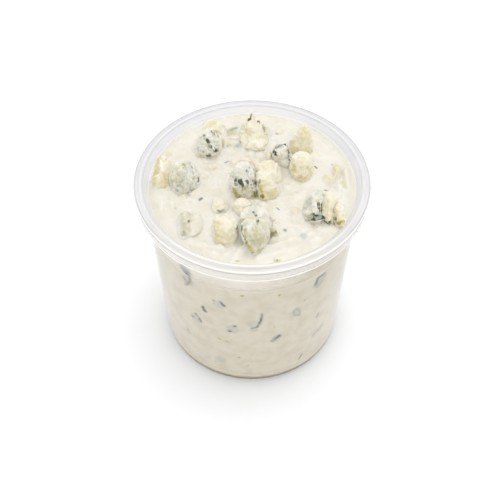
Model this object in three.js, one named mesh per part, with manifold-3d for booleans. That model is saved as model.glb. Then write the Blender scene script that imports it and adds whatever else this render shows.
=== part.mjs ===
// A clear round deli tub filled with chunky blue cheese dip, with crumbled blue cheese on top.
// Units are millimetres, +Z is up, and the tub stands on z = 0 with its axis on the Z axis.

import * as THREE from 'three';
import { mergeVertices } from 'three/addons/utils/BufferGeometryUtils.js';
import Module from 'manifold-3d';

const wasm = await Module();
wasm.setup();

// ---------------------------------------------------------------- driving dimensions

const TUB_HEIGHT = 95.7;
const RIM_RADIUS = 50;

// Rolled rim: a flat flange with a skirt that hangs outside it.
const FLANGE_WIDTH = 4;
const FLANGE_THICKNESS = 1;
const RIM_EDGE_RADIUS = 0.7;
const SKIRT_DEPTH = 6.4;
const SKIRT_THICKNESS = 0.9;
const SKIRT_DRAFT = 0.65;

// Lid seat: the slope that leads from the flange down to the wall.
const SEAT_DEPTH = 3.1;
const SEAT_RADIUS = 43.9;

// Collar: the thicker band under the rim, ending in a small ledge.
const COLLAR_DEPTH = 20.1;
const LEDGE_STEP = 0.35;
const LEDGE_HEIGHT = 0.5;

// Tapered wall, rounded corner and foot ring.
const BASE_RADIUS = 42.15;
const CORNER_RADIUS = 4;
const WALL_TAPER = 0.0418;
const WALL_THICKNESS = 1;
const FLOOR_THICKNESS = 1.1;
const FOOT_WIDTH = 3.2;
const FOOT_RECESS = 1;

// Dip: its level at the wall, and how much its top swirls and swells round the crumbles.
const DIP_DEPTH_BELOW_RIM = 3.3;
const SWIRL_HEIGHT = 0.55;
const SWELL_HEIGHT = 1.1;
const SWELL_REACH = 3.5;

const CLEARANCE = 0.3;
const ROUND_SEGMENTS = 56;
const DIP_RINGS = 9;
const ARC_STEPS = 3;

/** A crumble of cheese: its name, middle, size, rise above the dip, and how its top narrows and leans. */
function crumble(name, [x, y], [width, depth, height], rise, { taper = 0.2, lean = 0, seed }) {
  return { name: `crumble_${name}`, x, y, width, depth, height, rise, taper, lean, seed };
}

// The seed draws a crumble's broken faces.
const CRUMBLES = [
  crumble('centre_veined', [-3.3, -2], [11, 16.4, 15.4], 10.9, { seed: 139 }),
  crumble('centre_ivory', [7.7, -1.7], [10.2, 17, 15], 10.5, { seed: 90 }),
  crumble('front_green', [1.3, -32.7], [11.6, 14.2, 15], 10.5, { taper: 0.25, seed: 876 }),
  crumble('front_shelf', [2.4, -18.8], [15, 8.8, 9], 4.4, { taper: 0.15, seed: 269 }),
  crumble('front_ivory', [-10.8, -27.8], [11.2, 15.2, 13.7], 9.2, { taper: 0.25, seed: 321 }),
  crumble('left_veined', [-28, 0.3], [13.2, 15.9, 14.4], 9.9, { seed: 9 }),
  crumble('left_wall', [-38.1, 4.7], [9.2, 16.7, 9], 5.5, { taper: 0.15, seed: 320 }),
  crumble('back_veined', [-18.7, 20.6], [11.3, 16.3, 14.8], 10.3, { seed: 929 }),
  crumble('back_cream', [-15.9, 32], [11.9, 9.6, 8], 4.4, { seed: 383 }),
  crumble('back_peak', [1.4, 32.5], [11.6, 13.4, 14.4], 10, { taper: 0.6, lean: -0.15, seed: 160 }),
  crumble('back_small', [2.2, 21.9], [9.7, 9.6, 10.3], 5.8, { seed: 135 }),
  crumble('right_peak', [21.7, 23.5], [11, 12.8, 14.4], 9.9, { taper: 0.45, lean: 0.2, seed: 393 }),
  crumble('right_rough', [21.3, 7.2], [10.4, 13.3, 13.5], 9, { seed: 865 }),
  crumble('right_blue', [12.6, 13.5], [9.5, 13.6, 13.9], 9.4, { taper: 0.25, seed: 375 }),
  crumble('cluster_veined', [24.9, -17], [7.9, 13.1, 14], 9.5, { seed: 50 }),
  crumble('cluster_pale', [31.1, -17.6], [6, 12.4, 13.5], 9, { seed: 216 }),
  crumble('cluster_outer', [35.6, -20.4], [5, 10.8, 10.4], 6.2, { seed: 149 }),
  crumble('front_left_sunk', [-24.9, -22.9], [9.1, 12.7, 8.2], 4.7, { taper: 0.1, seed: 612 }),
  crumble('front_nub', [8.7, -27.2], [4.4, 6.7, 9], 5.5, { seed: 65 }),
  crumble('middle_small', [-3.9, -14.4], [7.9, 9.5, 8.5], 4.8, { seed: 332 }),
  crumble('middle_sunk', [-13.9, -12.6], [7.7, 9.6, 8], 4.3, { taper: 0.15, seed: 580 }),
];

// Crumbs too small, or too deep in the dip, to be pieces of their own: half buried, and one with it.
const CRUMBS = [
  crumble('right_wall', [38.6, 6.6], [5, 11, 5.6], 2.5, { seed: 25 }),
  crumble('right_sunk', [33, 3.4], [6.4, 8.4, 5.4], 2.3, { seed: 24 }),
  crumble('back_sunk', [-6.9, 26], [6, 9, 7], 3.4, { seed: 23 }),
  crumble('back_gap', [-11.4, 24.4], [3.6, 7.6, 5], 2.2, { seed: 50 }),
  crumble('blue_side', [7.2, 15.4], [3, 5.8, 4], 1.8, { seed: 51 }),
  crumble('right_bump', [16.6, -15.9], [4.6, 4, 4.6], 1.6, { seed: 41 }),
  crumble('middle_left_crumb', [-7.4, 12.2], [3.4, 3, 3.4], 1.6, { seed: 42 }),
  crumble('middle_crumb', [0.6, 12.4], [3.6, 3.2, 4], 1.6, { seed: 43 }),
  crumble('middle_nub', [10.6, 8], [3, 2.6, 3], 1.6, { seed: 44 }),
  crumble('left_fold', [-17.6, 9.6], [5.4, 4, 5], 1.2, { seed: 45 }),
  crumble('left_fold_end', [-20.6, 4.8], [4.4, 3.4, 4], 1, { seed: 46 }),
  crumble('middle_bump', [8, -13], [5.6, 4.4, 5], 1.3, { seed: 47 }),
  crumble('left_wall_nub', [-36.2, 17.4], [3, 3, 3], 1.2, { seed: 48 }),
  crumble('back_right_bump', [12.4, 32], [4.4, 3.8, 4.4], 1, { seed: 49 }),
];

// ---------------------------------------------------------------- derived sizes

const flangeInner = RIM_RADIUS - FLANGE_WIDTH;
const skirtBottom = TUB_HEIGHT - SKIRT_DEPTH;
const seatLevel = TUB_HEIGHT - SEAT_DEPTH;
const ledgeLevel = TUB_HEIGHT - COLLAR_DEPTH;
const dipLevel = TUB_HEIGHT - DIP_DEPTH_BELOW_RIM;
const floorLevel = FOOT_RECESS + FLOOR_THICKNESS;

/** Outer radius of the tapered wall at height z. */
function wallRadius(z) {
  return BASE_RADIUS + (z - CORNER_RADIUS) * WALL_TAPER;
}

/** Inner radius of the tapered wall at height z, below the ledge. */
function innerRadius(z) {
  return wallRadius(z) - WALL_THICKNESS;
}

// ---------------------------------------------------------------- helpers

/** Points on a quarter-like arc from angle start to angle end, in degrees, both ends included. */
function arc(centreR, centreZ, radius, start, end) {
  const points = [];
  for (let step = 0; step <= ARC_STEPS; step += 1) {
    const angle = THREE.MathUtils.degToRad(start + ((end - start) * step) / ARC_STEPS);
    points.push(new THREE.Vector2(centreR + radius * Math.cos(angle), centreZ + radius * Math.sin(angle)));
  }
  return points;
}

/** A profile of radius and height, turned round the Z axis. */
function turned(profile) {
  return new THREE.LatheGeometry(profile, ROUND_SEGMENTS).rotateX(Math.PI / 2);
}

/** The geometry with position alone and shared vertices merged. */
function welded(geometry) {
  geometry.deleteAttribute('normal');
  geometry.deleteAttribute('uv');
  return mergeVertices(geometry, 1e-4);
}

/** A manifold solid from a closed geometry, without the flat triangles at the poles. */
function solidOf(geometry) {
  const merged = welded(geometry);
  const corners = Array.from(merged.index.array);
  const triangles = [];
  for (let i = 0; i < corners.length; i += 3) {
    const [a, b, c] = corners.slice(i, i + 3);
    if (a !== b && b !== c && c !== a) triangles.push(a, b, c);
  }
  const mesh = new wasm.Mesh({
    numProp: 3,
    vertProperties: Float32Array.from(merged.attributes.position.array),
    triVerts: Uint32Array.from(triangles),
  });
  return new wasm.Manifold(mesh);
}

/** The largest single body of a solid, so that a cut leaves no loose scrap. */
function largestBody(solid) {
  const bodies = solid.decompose();
  return bodies.reduce((best, body) => (body.volume() > best.volume() ? body : best));
}

/** A three.js geometry from a manifold solid. */
function geometryOf(solid) {
  const mesh = solid.getMesh();
  const geometry = new THREE.BufferGeometry();
  geometry.setAttribute('position', new THREE.BufferAttribute(mesh.vertProperties, 3));
  geometry.setIndex(new THREE.BufferAttribute(mesh.triVerts, 1));
  geometry.computeVertexNormals();
  return geometry;
}

/** A repeatable run of numbers from 0 to 1, drawn from a seed. */
function drawFrom(seed) {
  let state = seed * 7919;
  return () => {
    state = (state * 16807) % 2147483647;
    return state / 2147483647;
  };
}

// ---------------------------------------------------------------- tub

/** Closed section of the tub: underside, outer wall, rim, seat and inner wall. */
function tubProfile() {
  const point = (r, z) => new THREE.Vector2(r, z);
  const skirtRadius = RIM_RADIUS - SKIRT_DRAFT;
  const channelTop = TUB_HEIGHT - FLANGE_THICKNESS;
  const collarRadius = (z) => wallRadius(z) + LEDGE_STEP;
  const footOuter = BASE_RADIUS - CORNER_RADIUS;
  const edge = RIM_EDGE_RADIUS;
  const lip = SKIRT_THICKNESS / 2;
  const innerCorner = CORNER_RADIUS - WALL_THICKNESS;
  const floorCornerRadius = innerRadius(floorLevel + innerCorner) - innerCorner;
  return [
    point(0, FOOT_RECESS),
    point(footOuter - FOOT_WIDTH - FOOT_RECESS, FOOT_RECESS),
    point(footOuter - FOOT_WIDTH, 0),
    ...arc(footOuter, CORNER_RADIUS, CORNER_RADIUS, -90, 0),
    point(wallRadius(ledgeLevel), ledgeLevel),
    point(collarRadius(ledgeLevel), ledgeLevel + LEDGE_HEIGHT),
    point(collarRadius(channelTop), channelTop),
    point(RIM_RADIUS - SKIRT_THICKNESS, channelTop),
    ...arc(skirtRadius - lip, skirtBottom + lip, lip, 180, 360),
    ...arc(RIM_RADIUS - edge, TUB_HEIGHT - edge, edge, 0, 90),
    ...arc(flangeInner + edge, TUB_HEIGHT - edge, edge, 90, 180),
    point(SEAT_RADIUS, seatLevel),
    point(SEAT_RADIUS, ledgeLevel + 2 * LEDGE_HEIGHT),
    point(innerRadius(ledgeLevel), ledgeLevel - LEDGE_HEIGHT),
    ...arc(floorCornerRadius, floorLevel + innerCorner, innerCorner, 0, -90),
    point(0, floorLevel),
  ];
}

// ---------------------------------------------------------------- crumbles

const CRUMBLE_DETAIL = 2;
const CRUMB_DETAIL = 1;
const FACE_COUNT = 14;
const FACE_REACH = [0.7, 1];
const FACE_JITTER = 0.55;
const EDGE_SHARPNESS = 9;
const GOLDEN_ANGLE = Math.PI * (3 - Math.sqrt(5));

/** The broken faces of one crumble: directions spread over a ball, each cut at its own reach. */
function brokenFaces(seed) {
  const draw = drawFrom(seed);
  const faces = [];
  for (let i = 0; i < FACE_COUNT; i += 1) {
    const z = 1 - (2 * i + 1) / FACE_COUNT;
    const across = Math.sqrt(1 - z * z);
    const turn = i * GOLDEN_ANGLE;
    const direction = new THREE.Vector3(across * Math.cos(turn), across * Math.sin(turn), z);
    direction.x += FACE_JITTER * (draw() - 0.5) * 2;
    direction.y += FACE_JITTER * (draw() - 0.5) * 2;
    direction.z += FACE_JITTER * (draw() - 0.5) * 2;
    const reach = THREE.MathUtils.lerp(FACE_REACH[0], FACE_REACH[1], draw());
    faces.push({ direction: direction.normalize(), reach });
  }
  return faces;
}

/** Distance from the middle of a crumble to its surface: its faces meet in softened edges. */
function reachAlong(direction, faces) {
  let sum = 0;
  for (const face of faces) {
    const share = Math.max(0, direction.dot(face.direction)) / face.reach;
    sum += share ** EDGE_SHARPNESS;
  }
  return sum ** (-1 / EDGE_SHARPNESS);
}

/** A crumble as a solid of broken faces that fills its own box, grown by a margin all round. */
function crumbleSolid(topping, margin = 0, detail = CRUMBLE_DETAIL) {
  const faces = brokenFaces(topping.seed);
  const geometry = welded(new THREE.IcosahedronGeometry(1, detail));
  const position = geometry.attributes.position;
  const vertex = new THREE.Vector3();
  for (let i = 0; i < position.count; i += 1) {
    vertex.fromBufferAttribute(position, i).normalize();
    vertex.multiplyScalar(reachAlong(vertex, faces));
    const upward = Math.max(0, vertex.z);
    const narrowing = 1 - topping.taper * upward;
    position.setXYZ(i, vertex.x * narrowing + topping.lean * upward, vertex.y * narrowing, vertex.z);
  }
  geometry.computeBoundingBox();
  const centre = geometry.boundingBox.getCenter(new THREE.Vector3());
  const size = geometry.boundingBox.getSize(new THREE.Vector3());
  geometry.translate(-centre.x, -centre.y, -centre.z);
  geometry.scale(
    (topping.width + 2 * margin) / size.x,
    (topping.depth + 2 * margin) / size.y,
    (topping.height + 2 * margin) / size.z,
  );
  geometry.translate(topping.x, topping.y, dipLevel + topping.rise - topping.height / 2);
  return solidOf(geometry);
}

/** Whether two crumbles come close enough for one to be cut to clear the other. */
function nearby(first, second) {
  const reachX = (first.width + second.width) / 2 + CLEARANCE;
  const reachY = (first.depth + second.depth) / 2 + CLEARANCE;
  return Math.abs(first.x - second.x) < reachX && Math.abs(first.y - second.y) < reachY;
}

/** Each crumble, cut where needed so that it clears the ones before it. */
function crumbleSolids() {
  return CRUMBLES.map((topping, index) => {
    let solid = crumbleSolid(topping);
    for (const earlier of CRUMBLES.slice(0, index)) {
      if (nearby(topping, earlier)) solid = solid.subtract(crumbleSolid(earlier, CLEARANCE));
    }
    return largestBody(solid);
  });
}

// ---------------------------------------------------------------- dip

/** Height of the dip's soft swirls at x, y: two slow waves, one bent by the other. */
function swirl(x, y) {
  const bend = 1.3 * Math.sin(x / 9 + 0.6) + 1.1 * Math.cos(y / 11 - 0.4);
  return SWIRL_HEIGHT * (0.6 * Math.sin(x / 6.5 + bend) + 0.4 * Math.sin((x + 2 * y) / 10 - bend));
}

/** How far the dip swells up at x, y against the crumbles that stand in it. */
function swell(x, y) {
  let height = 0;
  for (const topping of CRUMBLES) {
    const away = Math.hypot((x - topping.x) / topping.width, (y - topping.y) / topping.depth) * 2 - 1;
    const distance = Math.max(0, away) * Math.min(topping.width, topping.depth) / 2;
    height = Math.max(height, SWELL_HEIGHT * Math.exp(-((distance / SWELL_REACH) ** 2)));
  }
  return height;
}

/** Closed section of the dip: it fills the tub up to its level, clear of the wall. */
function dipProfile() {
  const point = (r, z) => new THREE.Vector2(r, z);
  const bottom = floorLevel + CLEARANCE;
  const corner = CORNER_RADIUS - WALL_THICKNESS;
  const cornerRadius = innerRadius(bottom + corner) - CLEARANCE - corner;
  const topRadius = SEAT_RADIUS - CLEARANCE;
  const profile = [
    point(0, bottom),
    ...arc(cornerRadius, bottom + corner, corner, -90, 0),
    point(innerRadius(ledgeLevel) - CLEARANCE, ledgeLevel - LEDGE_HEIGHT),
    point(topRadius, ledgeLevel + 2 * LEDGE_HEIGHT),
  ];
  for (let ring = DIP_RINGS; ring >= 0; ring -= 1) {
    profile.push(point((topRadius * ring) / DIP_RINGS, dipLevel));
  }
  return profile;
}

/** The dip with its swirled top, its small crumbs, and a hollow round each crumble. */
function dipSolid() {
  const geometry = welded(turned(dipProfile()));
  const position = geometry.attributes.position;
  const topRadius = SEAT_RADIUS - CLEARANCE;
  for (let i = 0; i < position.count; i += 1) {
    const x = position.getX(i);
    const y = position.getY(i);
    const z = position.getZ(i);
    const inward = 1 - Math.min(1, Math.hypot(x, y) / topRadius) ** 6;
    if (z > dipLevel - CLEARANCE) position.setZ(i, z + inward * (swirl(x, y) + swell(x, y)));
  }
  let solid = solidOf(geometry);
  for (const crumb of CRUMBS) {
    const lift = swirl(crumb.x, crumb.y) + swell(crumb.x, crumb.y);
    solid = solid.add(crumbleSolid({ ...crumb, rise: crumb.rise + lift }, 0, CRUMB_DETAIL));
  }
  for (const topping of CRUMBLES) solid = solid.subtract(crumbleSolid(topping, CLEARANCE));
  return largestBody(solid);
}

// ---------------------------------------------------------------- finishes

const FINISHES = {
  clearPlastic: { color: 0xf3f3f7, roughness: 0.08, metalness: 0, transparent: true, opacity: 0.35 },
  dip: { color: 0xf5efdf, roughness: 0.35, metalness: 0 },
  paleCheese: { color: 0xede2c4, roughness: 0.6, metalness: 0 },
  veinedCheese: { color: 0xcfd2c2, roughness: 0.6, metalness: 0 },
};

/** A named piece in one of the finishes. */
function piece(name, geometry, finish) {
  const mesh = new THREE.Mesh(geometry, new THREE.MeshStandardMaterial(FINISHES[finish]));
  mesh.name = name;
  return mesh;
}

/** Whether a crumble is one of those with blue veins or a green bloom. */
function isVeined(name) {
  return /veined|green|blue/.test(name);
}

// ---------------------------------------------------------------- the filled tub

const filledTub = new THREE.Group();
filledTub.name = 'blue_cheese_dip_tub';
filledTub.add(piece('tub', geometryOf(solidOf(turned(tubProfile()))), 'clearPlastic'));
filledTub.add(piece('dip', geometryOf(dipSolid()), 'dip'));
crumbleSolids().forEach((solid, index) => {
  const { name } = CRUMBLES[index];
  filledTub.add(piece(name, geometryOf(solid), isVeined(name) ? 'veinedCheese' : 'paleCheese'));
});

export default filledTub;
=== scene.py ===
"""Dresses a clear deli tub of chunky blue cheese dip with crumbled blue cheese on top.

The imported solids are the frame: every size starts from their boxes. Geometry is worked out in
millimetres as whole numpy arrays, and turned to metres when a mesh is made.
"""

import logging
import math
from dataclasses import dataclass, replace
from enum import Enum

import bpy
import numpy as np
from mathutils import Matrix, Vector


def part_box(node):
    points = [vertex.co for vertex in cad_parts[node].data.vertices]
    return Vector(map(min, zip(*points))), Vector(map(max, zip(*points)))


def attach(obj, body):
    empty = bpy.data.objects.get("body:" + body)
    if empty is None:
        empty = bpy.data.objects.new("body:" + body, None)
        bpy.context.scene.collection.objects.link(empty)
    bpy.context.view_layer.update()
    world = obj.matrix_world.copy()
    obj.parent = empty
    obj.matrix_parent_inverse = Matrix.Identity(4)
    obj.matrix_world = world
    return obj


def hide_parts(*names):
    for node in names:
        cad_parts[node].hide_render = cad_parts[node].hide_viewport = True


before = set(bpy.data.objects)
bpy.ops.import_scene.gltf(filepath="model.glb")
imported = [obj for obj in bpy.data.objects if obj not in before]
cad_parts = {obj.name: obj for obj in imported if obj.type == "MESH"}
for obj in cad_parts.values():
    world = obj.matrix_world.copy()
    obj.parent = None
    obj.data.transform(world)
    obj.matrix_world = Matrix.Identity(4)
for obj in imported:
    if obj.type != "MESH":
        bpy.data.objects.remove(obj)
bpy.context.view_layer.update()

BODY = "root"
MM = 0.001
PICTURE_SIDE = 500
GOLDEN_ANGLE = math.pi * (3 - math.sqrt(5))

# Height of the dip in millimetres, and how far over it marks on its top are taken to lie.
DIP_LEVEL = 92.4
MARK_RISE = 0.3

log = logging.getLogger("dip_tub")


# ------------------------------------------------------------------ colour and nodes


def linear(hex_colour: str) -> tuple[float, float, float, float]:
    """Turns an sRGB hex colour to linear light.

    Args:
        hex_colour: a colour such as "#F6EFDC".

    Returns:
        Red, green, blue and an alpha of 1, in linear light.
    """
    parts = [int(hex_colour[i : i + 2], 16) / 255 for i in (1, 3, 5)]
    light = [c / 12.92 if c <= 0.04045 else ((c + 0.055) / 1.055) ** 2.4 for c in parts]
    return (*light, 1.0)


def add_node(
    tree: bpy.types.NodeTree, kind: str, settings: dict | None = None, inputs: dict | None = None
) -> bpy.types.Node:
    """Adds a node with its settings, and sets or links its inputs.

    Args:
        tree: the node tree it goes in.
        kind: the node's Blender type name.
        settings: the node's own properties.
        inputs: values or output sockets for its input sockets, by name or number.

    Returns:
        The new node.
    """
    node = tree.nodes.new(kind)
    for key, value in (settings or {}).items():
        setattr(node, key, value)
    for key, value in (inputs or {}).items():
        if isinstance(value, bpy.types.NodeSocket):
            tree.links.new(value, node.inputs[key])
        else:
            node.inputs[key].default_value = value
    return node


def new_material(name: str) -> tuple[bpy.types.Material, bpy.types.NodeTree, bpy.types.Node]:
    """Makes an empty node material.

    Args:
        name: the material's name.

    Returns:
        The material, its node tree and its output node.
    """
    material = bpy.data.materials.new(name)
    material.use_nodes = True
    tree = material.node_tree
    tree.nodes.clear()
    return material, tree, add_node(tree, "ShaderNodeOutputMaterial")


# ------------------------------------------------------------------ numbers


def smooth(low: float, high: float, value: np.ndarray) -> np.ndarray:
    """Eases from 0 at low to 1 at high, with level ends: t squared times three less two t."""
    t = np.clip((value - low) / (high - low), 0, 1)
    return t * t * (3 - 2 * t)


def hashed(cells: np.ndarray, seed: int) -> np.ndarray:
    """Gives each whole-number cell its own number from 0 to 1, by mixing the bits of its place.

    Args:
        cells: whole-number places, the last axis x, y, z.
        seed: chooses another set of numbers.

    Returns:
        One number for each cell.
    """
    whole = cells.astype(np.int64).astype(np.uint64)
    mixed = whole[..., 0] * np.uint64(73856093) ^ whole[..., 1] * np.uint64(19349663)
    mixed ^= whole[..., 2] * np.uint64(83492791) ^ np.uint64(seed * 2654435761)
    mixed &= np.uint64(0xFFFFFFFF)
    mixed = (mixed ^ (mixed >> np.uint64(15))) * np.uint64(2246822519) & np.uint64(0xFFFFFFFF)
    mixed = (mixed ^ (mixed >> np.uint64(13))) * np.uint64(3266489917) & np.uint64(0xFFFFFFFF)
    return (mixed ^ (mixed >> np.uint64(16))).astype(np.float64) / 0xFFFFFFFF


def cloud(points: np.ndarray, size: float, seed: int, octaves: int = 1) -> np.ndarray:
    """Smooth noise from -1 to 1: random corner values of a cubic lattice, eased between corners.

    Args:
        points: places in millimetres, the last axis x, y, z.
        size: the lattice's spacing in millimetres.
        seed: chooses another field.
        octaves: how many fields are added, each half as large and half as strong as the last.

    Returns:
        One value for each place.
    """
    total = np.zeros(points.shape[:-1])
    strength = 1.0
    for octave in range(octaves):
        placed = points / (size / 2**octave)
        cell = np.floor(placed)
        t = placed - cell
        t = t * t * t * (t * (t * 6 - 15) + 10)
        value = np.zeros(points.shape[:-1])
        for corner in np.ndindex(2, 2, 2):
            share = np.prod(np.where(np.array(corner) == 1, t, 1 - t), axis=-1)
            value += share * hashed(cell + corner, seed + 17 * octave)
        total += strength * (2 * value - 1)
        strength /= 2
    return total / (2 - 2 * strength)


def pebbles(points: np.ndarray, size: float, seed: int) -> np.ndarray:
    """Round grains from 0 in the gaps to 1 on top: one less the distance to the nearest seed point.

    Args:
        points: places in millimetres, the last axis x, y, z.
        size: the grains' spacing in millimetres.
        seed: chooses other grains.

    Returns:
        One value for each place.
    """
    placed = points / size
    cell = np.floor(placed)
    nearest = np.full(points.shape[:-1], 9.0)
    for step in np.ndindex(3, 3, 3):
        other = cell + np.array(step) - 1
        middle = np.stack([hashed(other, seed + axis) for axis in range(3)], axis=-1) + other
        nearest = np.minimum(nearest, ((placed - middle) ** 2).sum(axis=-1))
    return 1 - np.clip(np.sqrt(nearest), 0, 1)


def chips(points: np.ndarray, size: float, seed: int, keenness: float = 16.0) -> np.ndarray:
    """Broken faces: each random cell takes a height and a tilt of its own, and short slopes part them.

    Args:
        points: places in millimetres, the last axis x, y, z.
        size: the cells' spacing in millimetres.
        seed: chooses other cells.
        keenness: how short the slopes between faces are: a cell's weight falls as e to the minus
            keenness times its squared distance.

    Returns:
        One value for each place, mostly from -1 to 1.
    """
    placed = points / size
    cell = np.floor(placed)
    total, value = np.full(points.shape[:-1], 1e-9), np.zeros(points.shape[:-1])
    for step in np.ndindex(3, 3, 3):
        other = cell + np.array(step) - 1
        middle = np.stack([hashed(other, seed + axis) for axis in range(3)], axis=-1) + other
        away = placed - middle
        tilt = np.stack([hashed(other, seed + 5 + axis) for axis in range(3)], axis=-1) * 2 - 1
        face = hashed(other, seed + 11) * 1.6 - 0.8 + (tilt * away).sum(axis=-1)
        weight = np.exp(-keenness * (away**2).sum(axis=-1))
        total += weight
        value += weight * face
    return value / total


def creased(points: np.ndarray, size: float, seed: int) -> np.ndarray:
    """Rounded crags parted by sharp creases: sizes of four noises, each half as wide and 0.55 as strong.

    Args:
        points: places in millimetres, the last axis x, y, z.
        size: the largest crags' spacing in millimetres.
        seed: chooses other crags.

    Returns:
        One value for each place, from 0 in the deepest creases to about 1.
    """
    total, strength = np.zeros(points.shape[:-1]), 1.0
    for octave in range(4):
        total += strength * np.abs(cloud(points, size / 2**octave, seed + 13 * octave))
        strength *= 0.55
    return total


def chain_distance(points: np.ndarray, chain: np.ndarray) -> np.ndarray:
    """Distance from each point to a chain of straight lengths in space.

    Args:
        points: places, one a row.
        chain: the chain's corners, one a row; one row is a single dot.

    Returns:
        The least distance for each point.
    """
    if len(chain) == 1:
        return np.linalg.norm(points - chain[0], axis=-1)
    best = np.full(len(points), np.inf)
    for start, end in zip(chain[:-1], chain[1:]):
        along = end - start
        t = np.clip((points - start) @ along / max(along @ along, 1e-9), 0, 1)
        best = np.minimum(best, np.linalg.norm(points - start - t[:, None] * along, axis=-1))
    return best


# ------------------------------------------------------------------ meshes


def strip_faces(rows: int, columns: int) -> np.ndarray:
    """Four-cornered faces between rows of points that each close on themselves.

    Args:
        rows: how many rows of points.
        columns: how many points a row.

    Returns:
        Point numbers, four a face.
    """
    row, column = np.meshgrid(np.arange(rows - 1), np.arange(columns), indexing="ij")
    after = (column + 1) % columns
    here, above = row * columns, (row + 1) * columns
    corners = [here + column, here + after, above + after, above + column]
    return np.stack(corners, axis=-1).reshape(-1, 4)


def normals(points: np.ndarray, quads: np.ndarray) -> np.ndarray:
    """Outward direction at each point: the sum of its faces' diagonals' cross products, made one long.

    Args:
        points: places, one a row.
        quads: point numbers, four a face.

    Returns:
        One direction for each point.
    """
    corner = points[quads]
    across = np.cross(corner[:, 2] - corner[:, 0], corner[:, 3] - corner[:, 1])
    total = np.zeros_like(points)
    for side in range(4):
        np.add.at(total, quads[:, side], across)
    return total / np.maximum(np.linalg.norm(total, axis=1, keepdims=True), 1e-12)


def turned(radius: np.ndarray, height: np.ndarray, columns: int) -> tuple[np.ndarray, list]:
    """Turns a section round the Z axis: x and y are the radius times the cosine and sine of the angle.

    Args:
        radius: the section's radii, from its start on the axis to its end on the axis.
        height: the section's heights.
        columns: how many steps round.

    Returns:
        The points and the faces, with one point at each pole.
    """
    angle = np.arange(columns) * 2 * np.pi / columns
    ring = np.stack([np.cos(angle), np.sin(angle)], axis=-1)
    inner_radius, inner_height = radius[1:-1], height[1:-1]
    flat = inner_radius[:, None, None] * ring
    lift = np.broadcast_to(inner_height[:, None, None], (*flat.shape[:2], 1))
    points = np.concatenate([flat, lift], axis=-1).reshape(-1, 3)
    return closed_rows(points, len(inner_radius), columns, height[0], height[-1])


def closed_rows(
    points: np.ndarray, rows: int, columns: int, start: float, end: float
) -> tuple[np.ndarray, list]:
    """Closes rows of points with a pole on the axis before the first row and after the last.

    Args:
        points: the rows' points in order.
        rows: how many rows.
        columns: how many points a row.
        start: height of the first pole.
        end: height of the last pole.

    Returns:
        All points and all faces.
    """
    column = np.arange(columns)
    after = (column + 1) % columns
    first, last = len(points), len(points) + 1
    base = (rows - 1) * columns
    caps = [
        np.stack([np.full(columns, first), after, column], axis=-1),
        np.stack([np.full(columns, last), base + column, base + after], axis=-1),
    ]
    faces = strip_faces(rows, columns).tolist()
    for cap in caps:
        faces += cap.tolist()
    return np.vstack([points, [[0, 0, start], [0, 0, end]]]), faces


def make_piece(
    name: str, points: np.ndarray, faces: list, attributes: dict[str, np.ndarray] | None = None
) -> bpy.types.Object:
    """Makes a smooth mesh object at the origin from points in millimetres.

    Args:
        name: the piece's name.
        points: places in millimetres.
        faces: point numbers for each face.
        attributes: numbers for each point that a material reads by name.

    Returns:
        The object, linked to the scene.
    """
    mesh = bpy.data.meshes.new(name)
    mesh.from_pydata((points * MM).astype(np.float32), [], faces)
    mesh.polygons.foreach_set("use_smooth", np.ones(len(mesh.polygons), bool))
    for key, values in (attributes or {}).items():
        layer = mesh.attributes.new(key, "FLOAT", "POINT")
        layer.data.foreach_set("value", values.astype(np.float32))
    mesh.update()
    piece = bpy.data.objects.new(name, mesh)
    bpy.context.scene.collection.objects.link(piece)
    return piece


def settle(piece: bpy.types.Object, material: bpy.types.Material, slot: str, *nodes: str) -> None:
    """Dresses a piece, rides it on the tub's body and reports it.

    Args:
        piece: the finished piece.
        material: its material.
        slot: the name of the record's material slot for its finish; not used.
        nodes: the solids it stands for.
    """
    piece.data.materials.append(material)
    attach(piece, BODY)
    if nodes:
        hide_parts(*nodes)
    log.info("%s: %d points, for %s", piece.name, len(piece.data.vertices), ", ".join(nodes) or "itself")


def box_mm(node: str) -> tuple[np.ndarray, np.ndarray]:
    """Lowest and highest corners of a solid, in millimetres."""
    low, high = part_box(node)
    return np.array(low) / MM, np.array(high) / MM


# ------------------------------------------------------------------ view


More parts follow.
